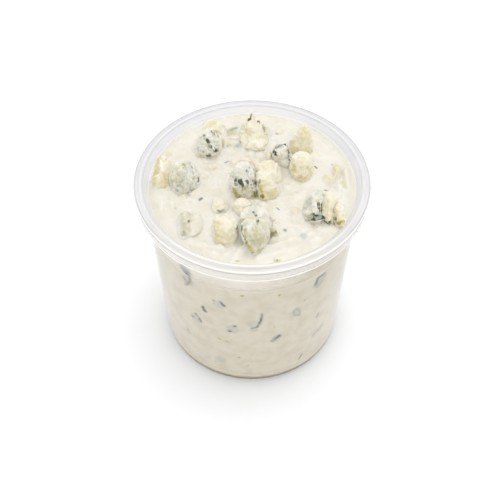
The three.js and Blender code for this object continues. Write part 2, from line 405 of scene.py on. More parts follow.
@dataclass(frozen=True)
class View:
    """The camera: it looks down on the tub from the front, and places marks by where they are seen."""

    distance: float = 400.0
    elevation: float = 50.66
    aim_height: float = 47.98
    focal: float = 861.46
    side: float = 1.89

    def axes(self) -> tuple[np.ndarray, np.ndarray, np.ndarray, np.ndarray]:
        """Where the camera stands and how it is turned.

        Returns:
            Its place in millimetres, and its right, up and backward directions.
        """
        tilt = math.radians(self.elevation)
        back = np.array([0.0, -math.cos(tilt), math.sin(tilt)])
        right = np.array([1.0, 0.0, 0.0])
        drift = self.side * self.distance / self.focal
        place = np.array([-drift, 0.0, self.aim_height]) + self.distance * back
        return place, right, np.cross(back, right), back

    def seen(self, points: np.ndarray) -> np.ndarray:
        """Where points fall in the picture: offset over depth, times the focal length.

        Args:
            points: places in millimetres, one a row.

        Returns:
            Picture column and row for each point.
        """
        place, right, up, back = self.axes()
        offset = points - place
        depth = -(offset @ back)
        half = PICTURE_SIDE / 2
        column, row = half + self.focal * (offset @ right) / depth, half - self.focal * (offset @ up) / depth
        return np.stack([column, row], axis=-1)

    def slide(self, points: np.ndarray, shift: np.ndarray) -> np.ndarray:
        """The level move that shifts points by some columns and rows of the picture.

        Args:
            points: places in millimetres, one a row.
            shift: columns and rows, one pair for all points or one for each.

        Returns:
            The move in millimetres for each point.
        """
        place, _, _, back = self.axes()
        scale = (place - points) @ back / self.focal
        shift = np.broadcast_to(shift, (len(points), 2))
        rise = math.sin(math.radians(self.elevation))
        return np.stack([shift[:, 0] * scale, -shift[:, 1] * scale / rise, np.zeros(len(points))], axis=-1)

    def ray(self, column: float, row: float) -> tuple[np.ndarray, np.ndarray]:
        """The sight line through a place in the picture.

        Args:
            column: the place's picture column.
            row: the place's picture row.

        Returns:
            The line's start in millimetres, and its direction.
        """
        place, right, up, back = self.axes()
        half = PICTURE_SIDE / 2
        direction = -back + (column - half) / self.focal * right + (half - row) / self.focal * up
        return place, direction / np.linalg.norm(direction)

    def camera(self) -> None:
        """Makes the scene's camera."""
        place, right, up, back = self.axes()
        data = bpy.data.cameras.new("Camera")
        data.sensor_width = 36.0
        data.lens = self.focal / PICTURE_SIDE * data.sensor_width
        data.clip_start = 0.01
        camera = bpy.data.objects.new("Camera", data)
        camera.location = place * MM
        camera.rotation_euler = (math.radians(90 - self.elevation), 0, 0)
        bpy.context.scene.collection.objects.link(camera)
        bpy.context.scene.camera = camera


VIEW = View()


# ------------------------------------------------------------------ marks of mould and herb, and painted shade


class Pigment(Enum):
    """What a mark is made of, and the attribute that carries it."""

    MOULD = "mould"
    # Herb flecks, and painted olive and straw shade.
    HERB = "herb"


@dataclass(frozen=True)
class Mark:
    """A vein, dot or patch of colour, placed by where it is seen.

    The path is its corners in the picture, width its breadth in millimetres, shade how dark it is
    and soft how far its edge fades, in millimetres.
    """

    path: tuple[tuple[float, float], ...]
    width: float
    shade: float = 1.0
    soft: float = 0.5
    pigment: Pigment = Pigment.MOULD


def stained(
    points: np.ndarray, chains: list[tuple[np.ndarray, Mark]], wobble: float = 0.25, holes: float = 0.0
) -> dict[str, np.ndarray]:
    """Shades points by the marks near them: full inside a mark's width, fading over its soft edge.

    Args:
        points: places in millimetres, one a row.
        chains: each mark with its corners in space.
        wobble: how far noise pushes the edges in and out, in millimetres.
        holes: how strongly noise breaks a mark up, from 0 to 1.

    Returns:
        One array of shades for each pigment.
    """
    shades = {pigment.value: np.zeros(len(points)) for pigment in Pigment}
    ragged = wobble * cloud(points, 1.1, 71, octaves=2)
    broken = 1 - holes * (1 - smooth(-0.35, 0.1, cloud(points, 1.3, 72, octaves=2)))
    for chain, mark in chains:
        reach = mark.width / 2 + mark.soft + wobble
        low, high = chain.min(axis=0) - reach, chain.max(axis=0) + reach
        near = np.flatnonzero(((points > low) & (points < high)).all(axis=1))
        if not len(near):
            continue
        push = ragged[near] * min(1.0, mark.width / 1.6)
        beyond = chain_distance(points[near], chain) - mark.width / 2 + push
        value = mark.shade * broken[near] * (1 - smooth(-0.15, mark.soft, beyond))
        layer = shades[mark.pigment.value]
        layer[near] = np.maximum(layer[near], value)
    return shades


# ------------------------------------------------------------------ finishes


@dataclass(frozen=True)
class ClearPolypropylene:
    """Clarified polypropylene, injection moulded: clear, glossy, faintly cool, with a soft haze.

    smoke and milk are the two ends of the haze's colour, which also carries the rim's painted highlights,
    glow and dark lines, and fill tints it in front as a painted warm glow of the dip behind. lit_thin and
    lit_thick are the shares of thin and thick haze lit from behind, and thick is the share of haze from which
    it counts as thick.
    """

    tint: str = "#FFFFFF"
    smoke: str = "#B9B9C2"
    milk: str = "#FFFFFF"
    fill: str = "#FFFCF6"
    roughness: float = 0.06
    haze_roughness: float = 0.2
    refraction: float = 1.49
    thick: float = 0.85
    lit_thin: float = 0.4
    lit_thick: float = 0.1

    def material(self) -> bpy.types.Material:
        """Makes the plastic, which lets lamps through to what fills it.

        Returns:
            The material, which reads its three attributes, the haze share, its paleness and its warmth, which
            also carry painted light and shade on the rim.
        """
        material, tree, output = new_material("Clear_polypropylene")
        haze_and_painted_light, pale, warm = [
            add_node(tree, "ShaderNodeAttribute", {"attribute_name": name}).outputs["Fac"]
            for name in ("haze_and_painted_light", "pale", "warm")
        ]
        clear = {"Roughness": self.roughness, "IOR": self.refraction, "Transmission Weight": 1.0}
        plastic = add_node(
            tree, "ShaderNodeBsdfPrincipled", inputs={"Base Color": linear(self.tint), **clear}
        ).outputs[0]
        haze = linear(self.smoke)
        for blend, share, tone in (("MIX", pale, self.milk), ("MULTIPLY", warm, self.fill)):
            settings = {"data_type": "RGBA", "blend_type": blend}
            haze = add_node(tree, "ShaderNodeMix", settings, {0: share, 6: haze, 7: linear(tone)}).outputs[2]
        skin = add_node(
            tree, "ShaderNodeBsdfPrincipled", inputs={"Base Color": haze, "Roughness": self.haze_roughness}
        ).outputs[0]
        within = add_node(tree, "ShaderNodeBsdfTranslucent", inputs={"Color": haze}).outputs[0]
        lit = {"From Min": self.thick, "To Min": self.lit_thin, "To Max": self.lit_thick}
        behind = add_node(tree, "ShaderNodeMapRange", inputs={"Value": haze_and_painted_light, **lit}).outputs[0]
        through = add_node(tree, "ShaderNodeBsdfTransparent", inputs={"Color": linear(self.tint)}).outputs[0]
        path = add_node(tree, "ShaderNodeLightPath").outputs
        rays = {0: path["Is Shadow Ray"], 1: path["Is Diffuse Ray"]}
        lamps = add_node(tree, "ShaderNodeMath", {"operation": "MAXIMUM"}, rays).outputs[0]
        milky = add_node(tree, "ShaderNodeMixShader", inputs={0: behind, 1: skin, 2: within}).outputs[0]
        hazy = add_node(tree, "ShaderNodeMixShader", inputs={0: haze_and_painted_light, 1: plastic, 2: milky}).outputs[0]
        mixed = add_node(tree, "ShaderNodeMixShader", inputs={0: lamps, 1: hazy, 2: through}).outputs[0]
        tree.links.new(mixed, output.inputs["Surface"])
        return material


DIP_CREAM = "#E8E4DA"
# Dark olive for dried herb flecks, and for painted deep shade in gaps and at the feet of crumbles.
DRIED_HERB_AND_DEEP_SHADE = "#45451F"
DAIRY_IOR = 1.45
# How far red, green and blue light sink into milk fat, as shares of SINK_DEPTH in millimetres.
SINK_RADII = (1.0, 0.82, 0.58)
SINK_DEPTH = 2.2


@dataclass(frozen=True)
class DairyFinish:
    """Soured cream dip or curd: light sinks in and glows back warm, over a moist, softly glossy skin.

    base and deep are the two creams it drifts between, drift the spacing of that drift in
    millimetres, shade the colour of its painted shade, which on the dip also gives the straw of
    fused crumbs, haze and vein those of thin and thick mould, and herb that of a fresh fleck and of
    painted olive and straw shade. dry is its roughness where it is bare and wet where the dip
    coats it, glow the share of light that sinks in, and grain the spacing and grain_height the
    height of its fine grain in millimetres.
    """

    name: str
    base: str
    deep: str
    shade: str
    haze: str
    vein: str
    herb: str
    drift: float
    dry: float
    wet: float
    glow: float
    grain: float
    grain_height: float

    def material(self) -> bpy.types.Material:
        """Makes the dairy, one layer of colour over another.

        Returns:
            The material, which reads the coat, hollow, mould and herb attributes. Besides straw and flecks of
            mould and herb, the last three also carry painted shade.
        """
        material, tree, output = new_material(self.name)
        coat, painted_shade_and_straw, mould, herb = [
            add_node(tree, "ShaderNodeAttribute", {"attribute_name": name}).outputs["Fac"]
            for name in ("coat", "painted_shade_and_straw", "mould", "herb")
        ]
        place = add_node(tree, "ShaderNodeTexCoord").outputs["Object"]
        drift, grains = [
            add_node(tree, "ShaderNodeTexNoise", inputs={"Vector": place, "Scale": 1 / (size * MM), **kind})
            for size, kind in (
                (self.drift, {"Detail": 4.0, "Roughness": 0.55}),
                (self.grain, {"Detail": 3.0, "Roughness": 0.6}),
            )
        ]
        # What drives each layer, where it sets in and is full, its most cover, its ease, its colour.
        layers = (
            (drift.outputs["Fac"], 0.38, 0.68, 1.0, "SMOOTHSTEP", self.deep),
            # Painted shade, and on the dip the straw of its fused crumbs.
            (painted_shade_and_straw, 0.0, 1.0, 1.0, "LINEAR", self.shade),
            (coat, 0.0, 1.0, 1.0, "LINEAR", DIP_CREAM),
            # Thin and thick mould, and on the dip some painted grey shade.
            (mould, 0.0, 0.55, 0.85, "LINEAR", self.haze),
            (mould, 0.4, 1.0, 1.0, "SMOOTHSTEP", self.vein),
            # Herb flecks and painted olive and straw shade, light and then dark.
            (herb, 0.0, 0.5, 1.0, "LINEAR", self.herb),
            (herb, 0.5, 1.0, 1.0, "LINEAR", DRIED_HERB_AND_DEEP_SHADE),
        )
        colour = linear(self.base)
        for driver, start, full, most, ease, tone in layers:
            bounds = {"Value": driver, "From Min": start, "From Max": full, "To Max": most}
            share = add_node(tree, "ShaderNodeMapRange", {"interpolation_type": ease}, bounds).outputs[0]
            mix = {0: share, 6: colour, 7: linear(tone)}
            colour = add_node(tree, "ShaderNodeMix", {"data_type": "RGBA"}, mix).outputs[2]
        skin = {"Value": coat, "To Min": self.dry, "To Max": self.wet}
        relief = {"Strength": 0.5, "Distance": self.grain_height * MM, "Height": grains.outputs["Fac"]}
        shader = add_node(
            tree,
            "ShaderNodeBsdfPrincipled",
            inputs={
                "Base Color": colour,
                "Roughness": add_node(tree, "ShaderNodeMapRange", inputs=skin).outputs[0],
                "IOR": DAIRY_IOR,
                "Subsurface Weight": self.glow,
                "Subsurface Radius": SINK_RADII,
                "Subsurface Scale": SINK_DEPTH * MM,
                "Normal": add_node(tree, "ShaderNodeBump", inputs=relief).outputs[0],
            },
        )
        tree.links.new(shader.outputs[0], output.inputs["Surface"])
        return material


# Stirred soured cream: near white, warm in its depth, with grey-blue mould smeared through it; its shade
# colour paints the shade along the wall and tints fused crumbs straw.
DIP_FINISH = DairyFinish(
    name="Soured_cream_dip", base=DIP_CREAM, deep="#E3DED1", shade="#DED6B8", haze="#B4BDBC", vein="#39433F",
    herb="#B3AD68", drift=6.0, dry=0.3, wet=0.3, glow=0.35, grain=0.9, grain_height=0.12,
)

# The same dip pressed against the plastic: smooth and wet, in darker colours that paint the shade it lies in
# behind the wall, with dark brown painted shade at its foot.
SHADED_SIDE_FINISH = replace(
    DIP_FINISH, name="Shaded_soured_cream_against_wall", base="#D4CCB8", deep="#C9C0A9", shade="#7F7352",
    haze="#A3A398", vein="#45463C", grain_height=0.02,
)

# Plain curd: ivory, dry and granular where it broke, with straw yellow for its painted shade.
PALE_FINISH = DairyFinish(
    name="Ivory_curd", base="#EAE5D4", deep="#E5DFCA", shade="#E9E3CE", haze="#A9AB95", vein="#4B4C38",
    herb="#CFC28A", drift=3.2, dry=0.55, wet=0.36, glow=0.6, grain=0.5, grain_height=0.14,
)

# Veined curd: grey-ivory with blue-green mould in its cracks, duller than plain curd, with olive for its
# painted shade.
VEINED_FINISH = DairyFinish(
    name="Blue_veined_curd", base="#E6E4DA", deep="#DEDBCC", shade="#DFDBC9", haze="#B6B9AE", vein="#4B4D3B",
    herb="#BDB583", drift=3.0, dry=0.52, wet=0.36, glow=0.5, grain=0.5, grain_height=0.14,
)

MATERIALS: dict[str, bpy.types.Material] = {}


# ------------------------------------------------------------------ tub


class Cast(Enum):
    """How the plastic looks along the section.

    Each is the share of light that it scatters, how pale that scatter is from smoke grey at 0 to
    white at 1, and how much paler it turns at the front and at the back, which is painted light
    and shade. The glows, the light line at the ledge and the highlights on the rounded edges are
    painted light; the grey and dark lines at the edges and roundings are painted shade.
    """

    CLEAR = (0.1, 0.7, 0.0, 0.0)
    # Painted glow of light through the collar under the skirt, full and then faint.
    GLOW = (0.8, 0.95, 0.0, 0.0)
    FAINT_PAINTED_GLOW = (0.45, 0.9, 0.0, 0.0)
    # A painted light line along the ledge.
    PAINTED_LEDGE_LIGHT = (0.22, 1.0, 0.0, 0.0)
    SKIRT = (0.35, 0.7, 0.0, 0.0)
    INNER = (0.85, 0.6, 0.26, 0.05)
    FLANGE = (0.75, 0.54, -0.06, 0.06)
    RING = (0.8, 0.62, -0.16, -0.15)
    # Painted dark lines at the rim's outer and inner roundings.
    PAINTED_OUTER_LINE = (0.85, 0.28, 0.36, -0.12)
    CREASE = (0.85, 0.3, 0.1, 0.1)
    SEAT = (0.75, 0.56, 0.0, 0.08)
    LOW_SEAT = (0.8, 0.6, 0.0, 0.16)
    # A painted highlight on the rounded edges, and painted grey and dark lines on the skirt's face.
    PAINTED_HIGHLIGHT = (1.0, 1.0, 0.0, 0.0)
    EDGE = (0.85, 0.3, 0.0, 0.0)
    PAINTED_DARK_LINE = (0.85, 0.05, 0.0, 0.0)


# Millimetres above the ledge, the share of the ledge's step there, and the cast.
LEDGE_ZONES = (
    (-1.0, 0.0, Cast.CLEAR), (-0.3, 0.0, Cast.PAINTED_LEDGE_LIGHT), (0.1, 0.25, Cast.PAINTED_LEDGE_LIGHT), (0.5, 0.75, Cast.PAINTED_LEDGE_LIGHT),
    (0.9, 1.0, Cast.PAINTED_LEDGE_LIGHT), (1.6, 1.0, Cast.CLEAR),
)

# Millimetres below the rim on the skirt's face, and the cast.
SKIRT_ZONES = ((3.0, Cast.SKIRT), (2.2, Cast.PAINTED_DARK_LINE), (1.7, Cast.EDGE), (1.4, Cast.PAINTED_HIGHLIGHT))

# Millimetres above the middle of the skirt's lip on its face, and the cast.
LIP_ZONES = ((0.5, Cast.PAINTED_HIGHLIGHT), (0.9, Cast.SKIRT))

# Millimetres outwards from the flange's inner rounding on its flat top, and the cast.
FLANGE_ZONES = ((1.3, Cast.FLANGE), (0.7, Cast.INNER))

# Millimetres outwards and upwards from the lid seat, and the cast.
SEAT_ZONES = (
    (0.4, 0.6, Cast.LOW_SEAT), (0.0, 0.0, Cast.PAINTED_HIGHLIGHT), (0.0, -1.4, Cast.PAINTED_HIGHLIGHT), (0.0, -1.8, Cast.CLEAR),
)


@dataclass(frozen=True)
class Tub:
    """The moulded tub: foot ring, corner, tapered wall, ledge, collar, lid seat, flange and skirt.

    Sizes are in millimetres. The wall leans out by wall_taper for each millimetre up. The haze,
    with the light and shade painted into it, changes round the tub: front_turn is where its front
    cast sets in and is full, ahead_turn the same for the painted shade that dims the rim's top dead
    ahead, as shares of the way to the front. That top is all within top_depth of the height that
    lies top_inset or more in from the rim, and its ring of scattered light ends ring_inset in from
    the outer rounding. The collar's painted glow thins to the right by thinning: at the middle, for
    a radius across, and at most.
    """

    rim_radius: float
    height: float
    flange_width: float = 4.0
    flange_thickness: float = 1.0
    edge_radius: float = 0.7
    ring_inset: float = 0.4
    top_depth: float = 0.75
    top_inset: float = 1.2
    skirt_depth: float = 7.5
    skirt_thickness: float = 0.9
    skirt_draft: float = 0.65
    seat_depth: float = 3.1
    seat_radius: float = 43.9
    collar_depth: float = 20.1
    ledge_step: float = 0.35
    ledge_height: float = 0.5
    faint_glow_rise: float = 2.8
    painted_glow_drop: float = 5.0
    base_radius: float = 42.15
    corner_radius: float = 4.0
    wall_taper: float = 0.0418
    wall_thickness: float = 1.0
    floor_thickness: float = 1.1
    foot_width: float = 3.2
    foot_recess: float = 1.0
    steps_round: int = 384
    front_turn: tuple[float, float] = (0.55, 0.85)
    ahead_turn: tuple[float, float] = (0.95, 0.995)
    ahead_dimming: float = 0.5
    thinning: tuple[float, float, float] = (0.1, 1.5, 0.85)

    def wall(self, z: np.ndarray) -> np.ndarray:
        """Outer radius of the tapered wall at height z."""
        return self.base_radius + (z - self.corner_radius) * self.wall_taper

    @property
    def floor_level(self) -> float:
        """Height of the inside floor."""
        return self.foot_recess + self.floor_thickness

    @property
    def ledge_level(self) -> float:
        """Height of the ledge where the wall meets the collar."""
        return self.height - self.collar_depth

    def inside(self, z: np.ndarray) -> np.ndarray:
        """Inner radius: the tapered wall, eased out over the ledge to the upright collar.

        Args:
            z: heights in millimetres.

        Returns:
            The radius at each height.
        """
        below = self.wall(z) - self.wall_thickness
        step = smooth(self.ledge_level - self.ledge_height, self.ledge_level + 2 * self.ledge_height, z)
        corner = self.corner_radius - self.wall_thickness
        rise = np.clip(self.floor_level + corner - z, 0, corner)
        rounding = corner - np.sqrt(np.maximum(corner**2 - rise**2, 0))
        return below * (1 - step) + self.seat_radius * step - rounding

    @staticmethod
    def at(radius: float, height: float, cast: Cast) -> np.ndarray:
        """One row of the section."""
        return np.array([[radius, height, *cast.value]])

    @staticmethod
    def arc(centre: tuple[float, float], radius: float, start: float, end: float, *casts: Cast) -> np.ndarray:
        """Rows of the section on an arc: the centre plus the radius times cosine and sine.

        Args:
            centre: radius and height of the arc's centre.
            radius: the arc's own radius.
            start: its first angle in degrees, from 0 outwards to 90 upwards.
            end: its last angle in degrees.
            *casts: the casts met along it, eased from one to the next.

        Returns:
            One row for each of nine points.
        """
        angle = np.radians(np.linspace(start, end, 9))
        along, step = np.linspace(0, len(casts) - 1, 9), np.arange(len(casts))
        eased = [np.interp(along, step, part) for part in np.array([cast.value for cast in casts]).T]
        across, up = centre[0] + radius * np.cos(angle), centre[1] + radius * np.sin(angle)
        return np.stack([across, up, *eased], axis=-1)

    def outer_rows(self) -> list[np.ndarray]:
        """The section from the middle of the underside, up the outside and under the flange.

        Returns:
            Rows of a radius, a height and the four numbers of the cast there.
        """
        foot_outer = self.base_radius - self.corner_radius
        foot_inner = foot_outer - self.foot_width
        ledge, step = float(self.wall(self.ledge_level)), self.ledge_step
        channel_top = self.height - self.flange_thickness
        # The collar's painted glow: faint over the ledge, full under the skirt.
        collar = (
            (self.ledge_level + self.faint_glow_rise, Cast.FAINT_PAINTED_GLOW),
            (self.height - self.skirt_depth - self.painted_glow_drop, Cast.GLOW),
            (channel_top, Cast.GLOW),
        )
        return [
            self.at(0, self.foot_recess, Cast.CLEAR),
            self.at(foot_inner - self.foot_recess, self.foot_recess, Cast.CLEAR),
            self.at(foot_inner, 0, Cast.CLEAR),
            self.arc((foot_outer, self.corner_radius), self.corner_radius, -90, 0, Cast.CLEAR, Cast.CLEAR),
            *[
                self.at(ledge + min(rise, 0) * self.wall_taper + share * step, self.ledge_level + rise, cast)
                for rise, share, cast in LEDGE_ZONES
            ],
            *[self.at(float(self.wall(z)) + step, z, cast) for z, cast in collar],
            self.at(self.rim_radius - self.skirt_thickness, channel_top, Cast.CLEAR),
        ]

    def rim_rows(self) -> list[np.ndarray]:
        """The section round the skirt's lip, up its face and over the rim to the lid seat.

        Returns:
            Rows as outer_rows gives them.
        """
        edge, lip = self.edge_radius, self.skirt_thickness / 2
        painted_highlight, inner, crease = Cast.PAINTED_HIGHLIGHT, Cast.INNER, Cast.CREASE
        lip_radius = self.rim_radius - self.skirt_draft - lip
        slant = self.skirt_draft / (self.skirt_depth - edge - lip)
        flange_inner = self.rim_radius - self.flange_width
        lip_zones = [(self.skirt_depth - lip - rise, cast) for rise, cast in LIP_ZONES]
        lip_centre = (lip_radius, self.height - self.skirt_depth + lip)
        outer_centre = (self.rim_radius - edge, self.height - edge)
        inner_centre = (flange_inner + edge, self.height - edge)
        return [
            # Painted highlights on the lip and the outer rounding, painted grey and dark lines on the skirt's
            # face and at the inner rounding.
            self.arc(lip_centre, lip, 180, 360, Cast.CLEAR, painted_highlight, painted_highlight, painted_highlight, painted_highlight),
            *[
                self.at(self.rim_radius - slant * (depth - edge), self.height - depth, cast)
                for depth, cast in (*lip_zones, *SKIRT_ZONES)
            ],
            self.arc(outer_centre, edge, 0, 90, painted_highlight, painted_highlight, Cast.PAINTED_OUTER_LINE, Cast.PAINTED_OUTER_LINE),
            self.at(self.rim_radius - edge - self.ring_inset, self.height, Cast.RING),
            *[self.at(flange_inner + edge + out, self.height, cast) for out, cast in FLANGE_ZONES],
            self.arc(inner_centre, edge, 90, 180, inner, crease, crease, Cast.SEAT),
        ]

    def inner_rows(self) -> list[np.ndarray]:
        """The section from the lid seat down the inside to the middle of the floor.

        Returns:
            Rows as outer_rows gives them.
        """
        seat_level = self.height - self.seat_depth
        corner = self.corner_radius - self.wall_thickness
        floor_corner = float(self.wall(self.floor_level + corner)) - self.wall_thickness - corner
        wall_top = float(self.wall(self.ledge_level)) - self.wall_thickness
        return [
            *[self.at(self.seat_radius + out, seat_level + up, cast) for out, up, cast in SEAT_ZONES],
            self.at(self.seat_radius, self.ledge_level + 2 * self.ledge_height, Cast.CLEAR),
            self.at(wall_top, self.ledge_level - self.ledge_height, Cast.CLEAR),
            self.arc((floor_corner, self.floor_level + corner), corner, 0, -90, Cast.CLEAR, Cast.CLEAR),
            self.at(0, self.floor_level, Cast.CLEAR),
        ]

    @staticmethod
    def held(section: np.ndarray, hold: float = 0.12) -> np.ndarray:
        """Adds a row a short way in from both ends of each long side, so that flats shade flat.

        Args:
            section: the section's rows.
            hold: how far in the added rows lie, in millimetres.

        Returns:
            The rows with the added ones.
        """
        rows = [section[0]]
        for start, end in zip(section[:-1], section[1:]):
            along = end - start
            length = np.linalg.norm(along[:2])
            if length > 4 * hold:
                rows += [start + along * hold / length, end - along * hold / length]
            rows.append(end)
        return np.array(rows)

    def build(self) -> None:
        """Makes the tub, turned from its section, and dresses it in clear plastic."""
        section = self.held(np.vstack([*self.outer_rows(), *self.rim_rows(), *self.inner_rows()]))
        points, faces = turned(section[:, 0], section[:, 1], self.steps_round)
        haze_and_painted_light, pale, front_painted_light, back_painted_light = (
            np.concatenate([np.repeat(part[1:-1], self.steps_round), part[[0, -1]]]) for part in section.T[2:]
        )
        forward, across = -points[:, 1] / self.rim_radius, points[:, 0] / self.rim_radius
        # Painted light and shade: the rim turns paler or darker towards the front and the back.
        pale += front_painted_light * smooth(*self.front_turn, forward) + back_painted_light * np.clip(-forward, 0, 1)
        rim_top = points[:, 2] > self.height - self.top_depth
        rim_top &= np.hypot(points[:, 0], points[:, 1]) < self.rim_radius - self.top_inset
        # Painted shade: the rim's top dims dead ahead.
        pale -= self.ahead_dimming * rim_top * smooth(*self.ahead_turn, forward)
        # The collar's painted glow thins towards the right.
        collar = (points[:, 2] > self.ledge_level + 1) & (points[:, 2] < self.height - self.skirt_depth)
        middle, slope, most = self.thinning
        haze_and_painted_light *= 1 - collar * np.clip(middle + slope * across, 0, most)
        # warm drives the painted warm glow in front.
        casts = {"haze_and_painted_light": haze_and_painted_light, "pale": np.clip(pale, 0, 1), "warm": np.clip(forward, 0, 1)}
        piece = make_piece("clear_tub", points, faces, casts)
        settle(piece, ClearPolypropylene().material(), "tub_plastic", "tub")


# ------------------------------------------------------------------ crumbles


@dataclass(frozen=True)
class Waterline:
    """A crumble's outline at the dip's level: radii by angle round a middle, and whether it is sunk."""

    middle: np.ndarray
    rim: np.ndarray
    radius: np.ndarray
    sunk: bool

    def beyond(self, x: np.ndarray, y: np.ndarray) -> np.ndarray:
        """How far each place lies outside the outline, along the line from the middle."""
        dx, dy = x - self.middle[0], y - self.middle[1]
        return np.hypot(dx, dy) - np.interp(np.arctan2(dy, dx), self.rim, self.radius, period=2 * np.pi)


# Broken faces on broken faces: spacing in millimetres, step of the seed, and height.
CHIPS = ((4.6, 1, 1.5), (2.1, 4, 0.5), (1.3, 6, 0.5))

# Lehmer's rule for draws that repeat: each state is the last one times the factor, less whole primes.
LEHMER_FACTOR = 16807
LEHMER_PRIME = 2147483647
SEED_SPACING = 7919


@dataclass(frozen=True)
class Crumble:
    """One crumble of cheese: its broken faces, the grain on them, and the dip that coats its foot.

    It stands for the solid node and fills that solid's box. The outline is what shows of it above
    the dip, as corners in the picture. taper is how much narrower its top is, lean how far that top
    shifts sideways and flare how much wider its foot is, as shares of its half size. The dip coats
    it up to coat_height, bare_grain is how rough it is where bare, and marbled how strongly threads
    of mould run through it. Its crags are crag_size apart and crag_height high over crag_level, and
    bend_size and bend are the spacing and strength of the noise that bends them. What stands over
    the dip by clearance is free of it, and by sunk_clearance on a sunk crumble. A mark catches on
    it where a point is seen within mark_catch of the mark's corner, and of the points up to
    mark_slack further off than the closest, it takes the nearest to the eye.
    """

    node: str
    seed: int
    finish: DairyFinish
    taper: float = 0.2
    lean: float = 0.0
    marks: tuple[Mark, ...] = ()
    coat_height: float = 2.2
    bare_grain: float = 0.42
    marbled: float = 1.0
    faces: int = 14
    reach: tuple[float, float] = (0.7, 1.0)
    jitter: float = 0.55
    sharpness: float = 9.0
    flare: float = 0.2
    crag_size: float = 3.4
    crag_height: float = 0.9
    crag_level: float = 0.42
    bend_size: float = 2.2
    bend: float = 0.6
    steps: int = 56
    outline: tuple[tuple[float, float], ...] = ()
    sunk: bool = False
    clearance: float = 1.2
    sunk_clearance: float = 0.8
    sectors: int = 60
    waterline_band: float = 0.7
    waterline_sectors: int = 48
    mark_catch: float = 2.0
    mark_slack: float = 1.2

    def broken_faces(self) -> tuple[np.ndarray, np.ndarray]:
        """The crumble's faces, spread over a ball by the golden angle and jittered from its seed.

        Returns:
            The direction of each face, and how far out it lies.
        """
        state = self.seed * SEED_SPACING
        draws = []
        for _ in range(4 * self.faces):
            state = state * LEHMER_FACTOR % LEHMER_PRIME
            draws.append(state / LEHMER_PRIME)
        drawn = np.array(draws).reshape(self.faces, 4)
        step = np.arange(self.faces)
        z = 1 - (2 * step + 1) / self.faces
        across, turn = np.sqrt(1 - z * z), step * GOLDEN_ANGLE
        directions = np.stack([across * np.cos(turn), across * np.sin(turn), z], axis=-1)
        directions += self.jitter * 2 * (drawn[:, :3] - 0.5)
        directions /= np.linalg.norm(directions, axis=1, keepdims=True)
        return directions, self.reach[0] + (self.reach[1] - self.reach[0]) * drawn[:, 3]

    def ball(self) -> tuple[np.ndarray, np.ndarray]:
        """A ball from a gridded cube pushed out to radius 1: even steps, with no poles.

        Returns:
            The ball's points, and its four-cornered faces.
        """
        n = self.steps
        a, b = np.meshgrid(np.arange(n + 1), np.arange(n + 1), indexing="ij")
        sides, quads = [], []
        corner = np.arange((n + 1) ** 2).reshape(n + 1, n + 1)
        square = [corner[:-1, :-1], corner[1:, :-1], corner[1:, 1:], corner[:-1, 1:]]
        square = np.stack(square, axis=-1).reshape(-1, 4)
        for axis in range(3):
            for end in (0, n):
                lattice = np.empty((n + 1, n + 1, 3), int)
                lattice[..., axis] = end
                lattice[..., (axis + 1) % 3] = a
                lattice[..., (axis + 2) % 3] = b
                sides.append(lattice.reshape(-1, 3))
                quads.append((square if end else square[:, ::-1]) + len(quads) * (n + 1) ** 2)
        places, number = np.unique(np.vstack(sides), axis=0, return_inverse=True)
        cube = np.tan((2 * places / n - 1) * np.pi / 4)
        return cube / np.linalg.norm(cube, axis=1, keepdims=True), number.reshape(-1)[np.vstack(quads)]

    def blank(self, ball: np.ndarray) -> np.ndarray:
        """The crumble before its grain, one long from its middle.

        A direction's reach is one over the ninth root of the sum, over the broken faces, of the
        ninth powers of its cosine to the face over the face's reach: flat faces that meet in
        softened edges. It is then tapered, flared and leant by its height.

        Args:
            ball: directions over a ball.

        Returns:
            A point for each direction.
        """
        directions, reaches = self.broken_faces()
        cosine = np.maximum(0, ball @ directions.T) / reaches
        points = ball * ((cosine**self.sharpness).sum(axis=1) ** (-1 / self.sharpness))[:, None]
        upward = np.maximum(0, points[:, 2:])
        shift = np.concatenate([self.lean * upward, np.zeros((len(points), 2))], axis=1)
        breadth = 1 - self.taper * upward + self.flare * smooth(0.3, -0.5, points[:, 2:])
        return points * np.concatenate([breadth] * 2 + [np.ones_like(upward)], axis=1) + shift

    def surface(self) -> tuple[np.ndarray, np.ndarray, np.ndarray, np.ndarray]:
        """The crumble's surface: its blank fitted to the solid's box, with its grain added outwards.

        The grain is three sizes of chips and one of crags over bent places, less where the dip
        coats it.

        Returns:
            Its points, its faces, how much dip coats each point, and how much painted shade deepens it.
        """
        low, high = box_mm(self.node)
        ball, quads = self.ball()
        points = self.fitted(self.blank(ball), low, high)
        foot = np.clip((points[:, 2] - DIP_LEVEL) / self.coat_height, -1, 3)
        coat = 1 - smooth(0.15, 0.8, foot + 0.4 * cloud(points, 2.6, self.seed + 5, octaves=2))
        bare = self.bare_grain * (1 - 0.7 * coat)
        drift = [cloud(points, self.bend_size, self.seed + step) for step in (21, 22, 23)]
        bent = points + self.bend * np.stack(drift, axis=-1)
        crags = creased(bent, self.crag_size, self.seed + 2) - self.crag_level
        grain = self.crag_height * crags
        grain += sum(rise * chips(bent, size, self.seed + step) for size, step, rise in CHIPS)
        grown = points + ball * (bare * grain)[:, None]
        points = self.outlined(self.fitted(grown, low, high))
        return points, quads, coat, self.painted_shade_and_straw(points, quads, crags)

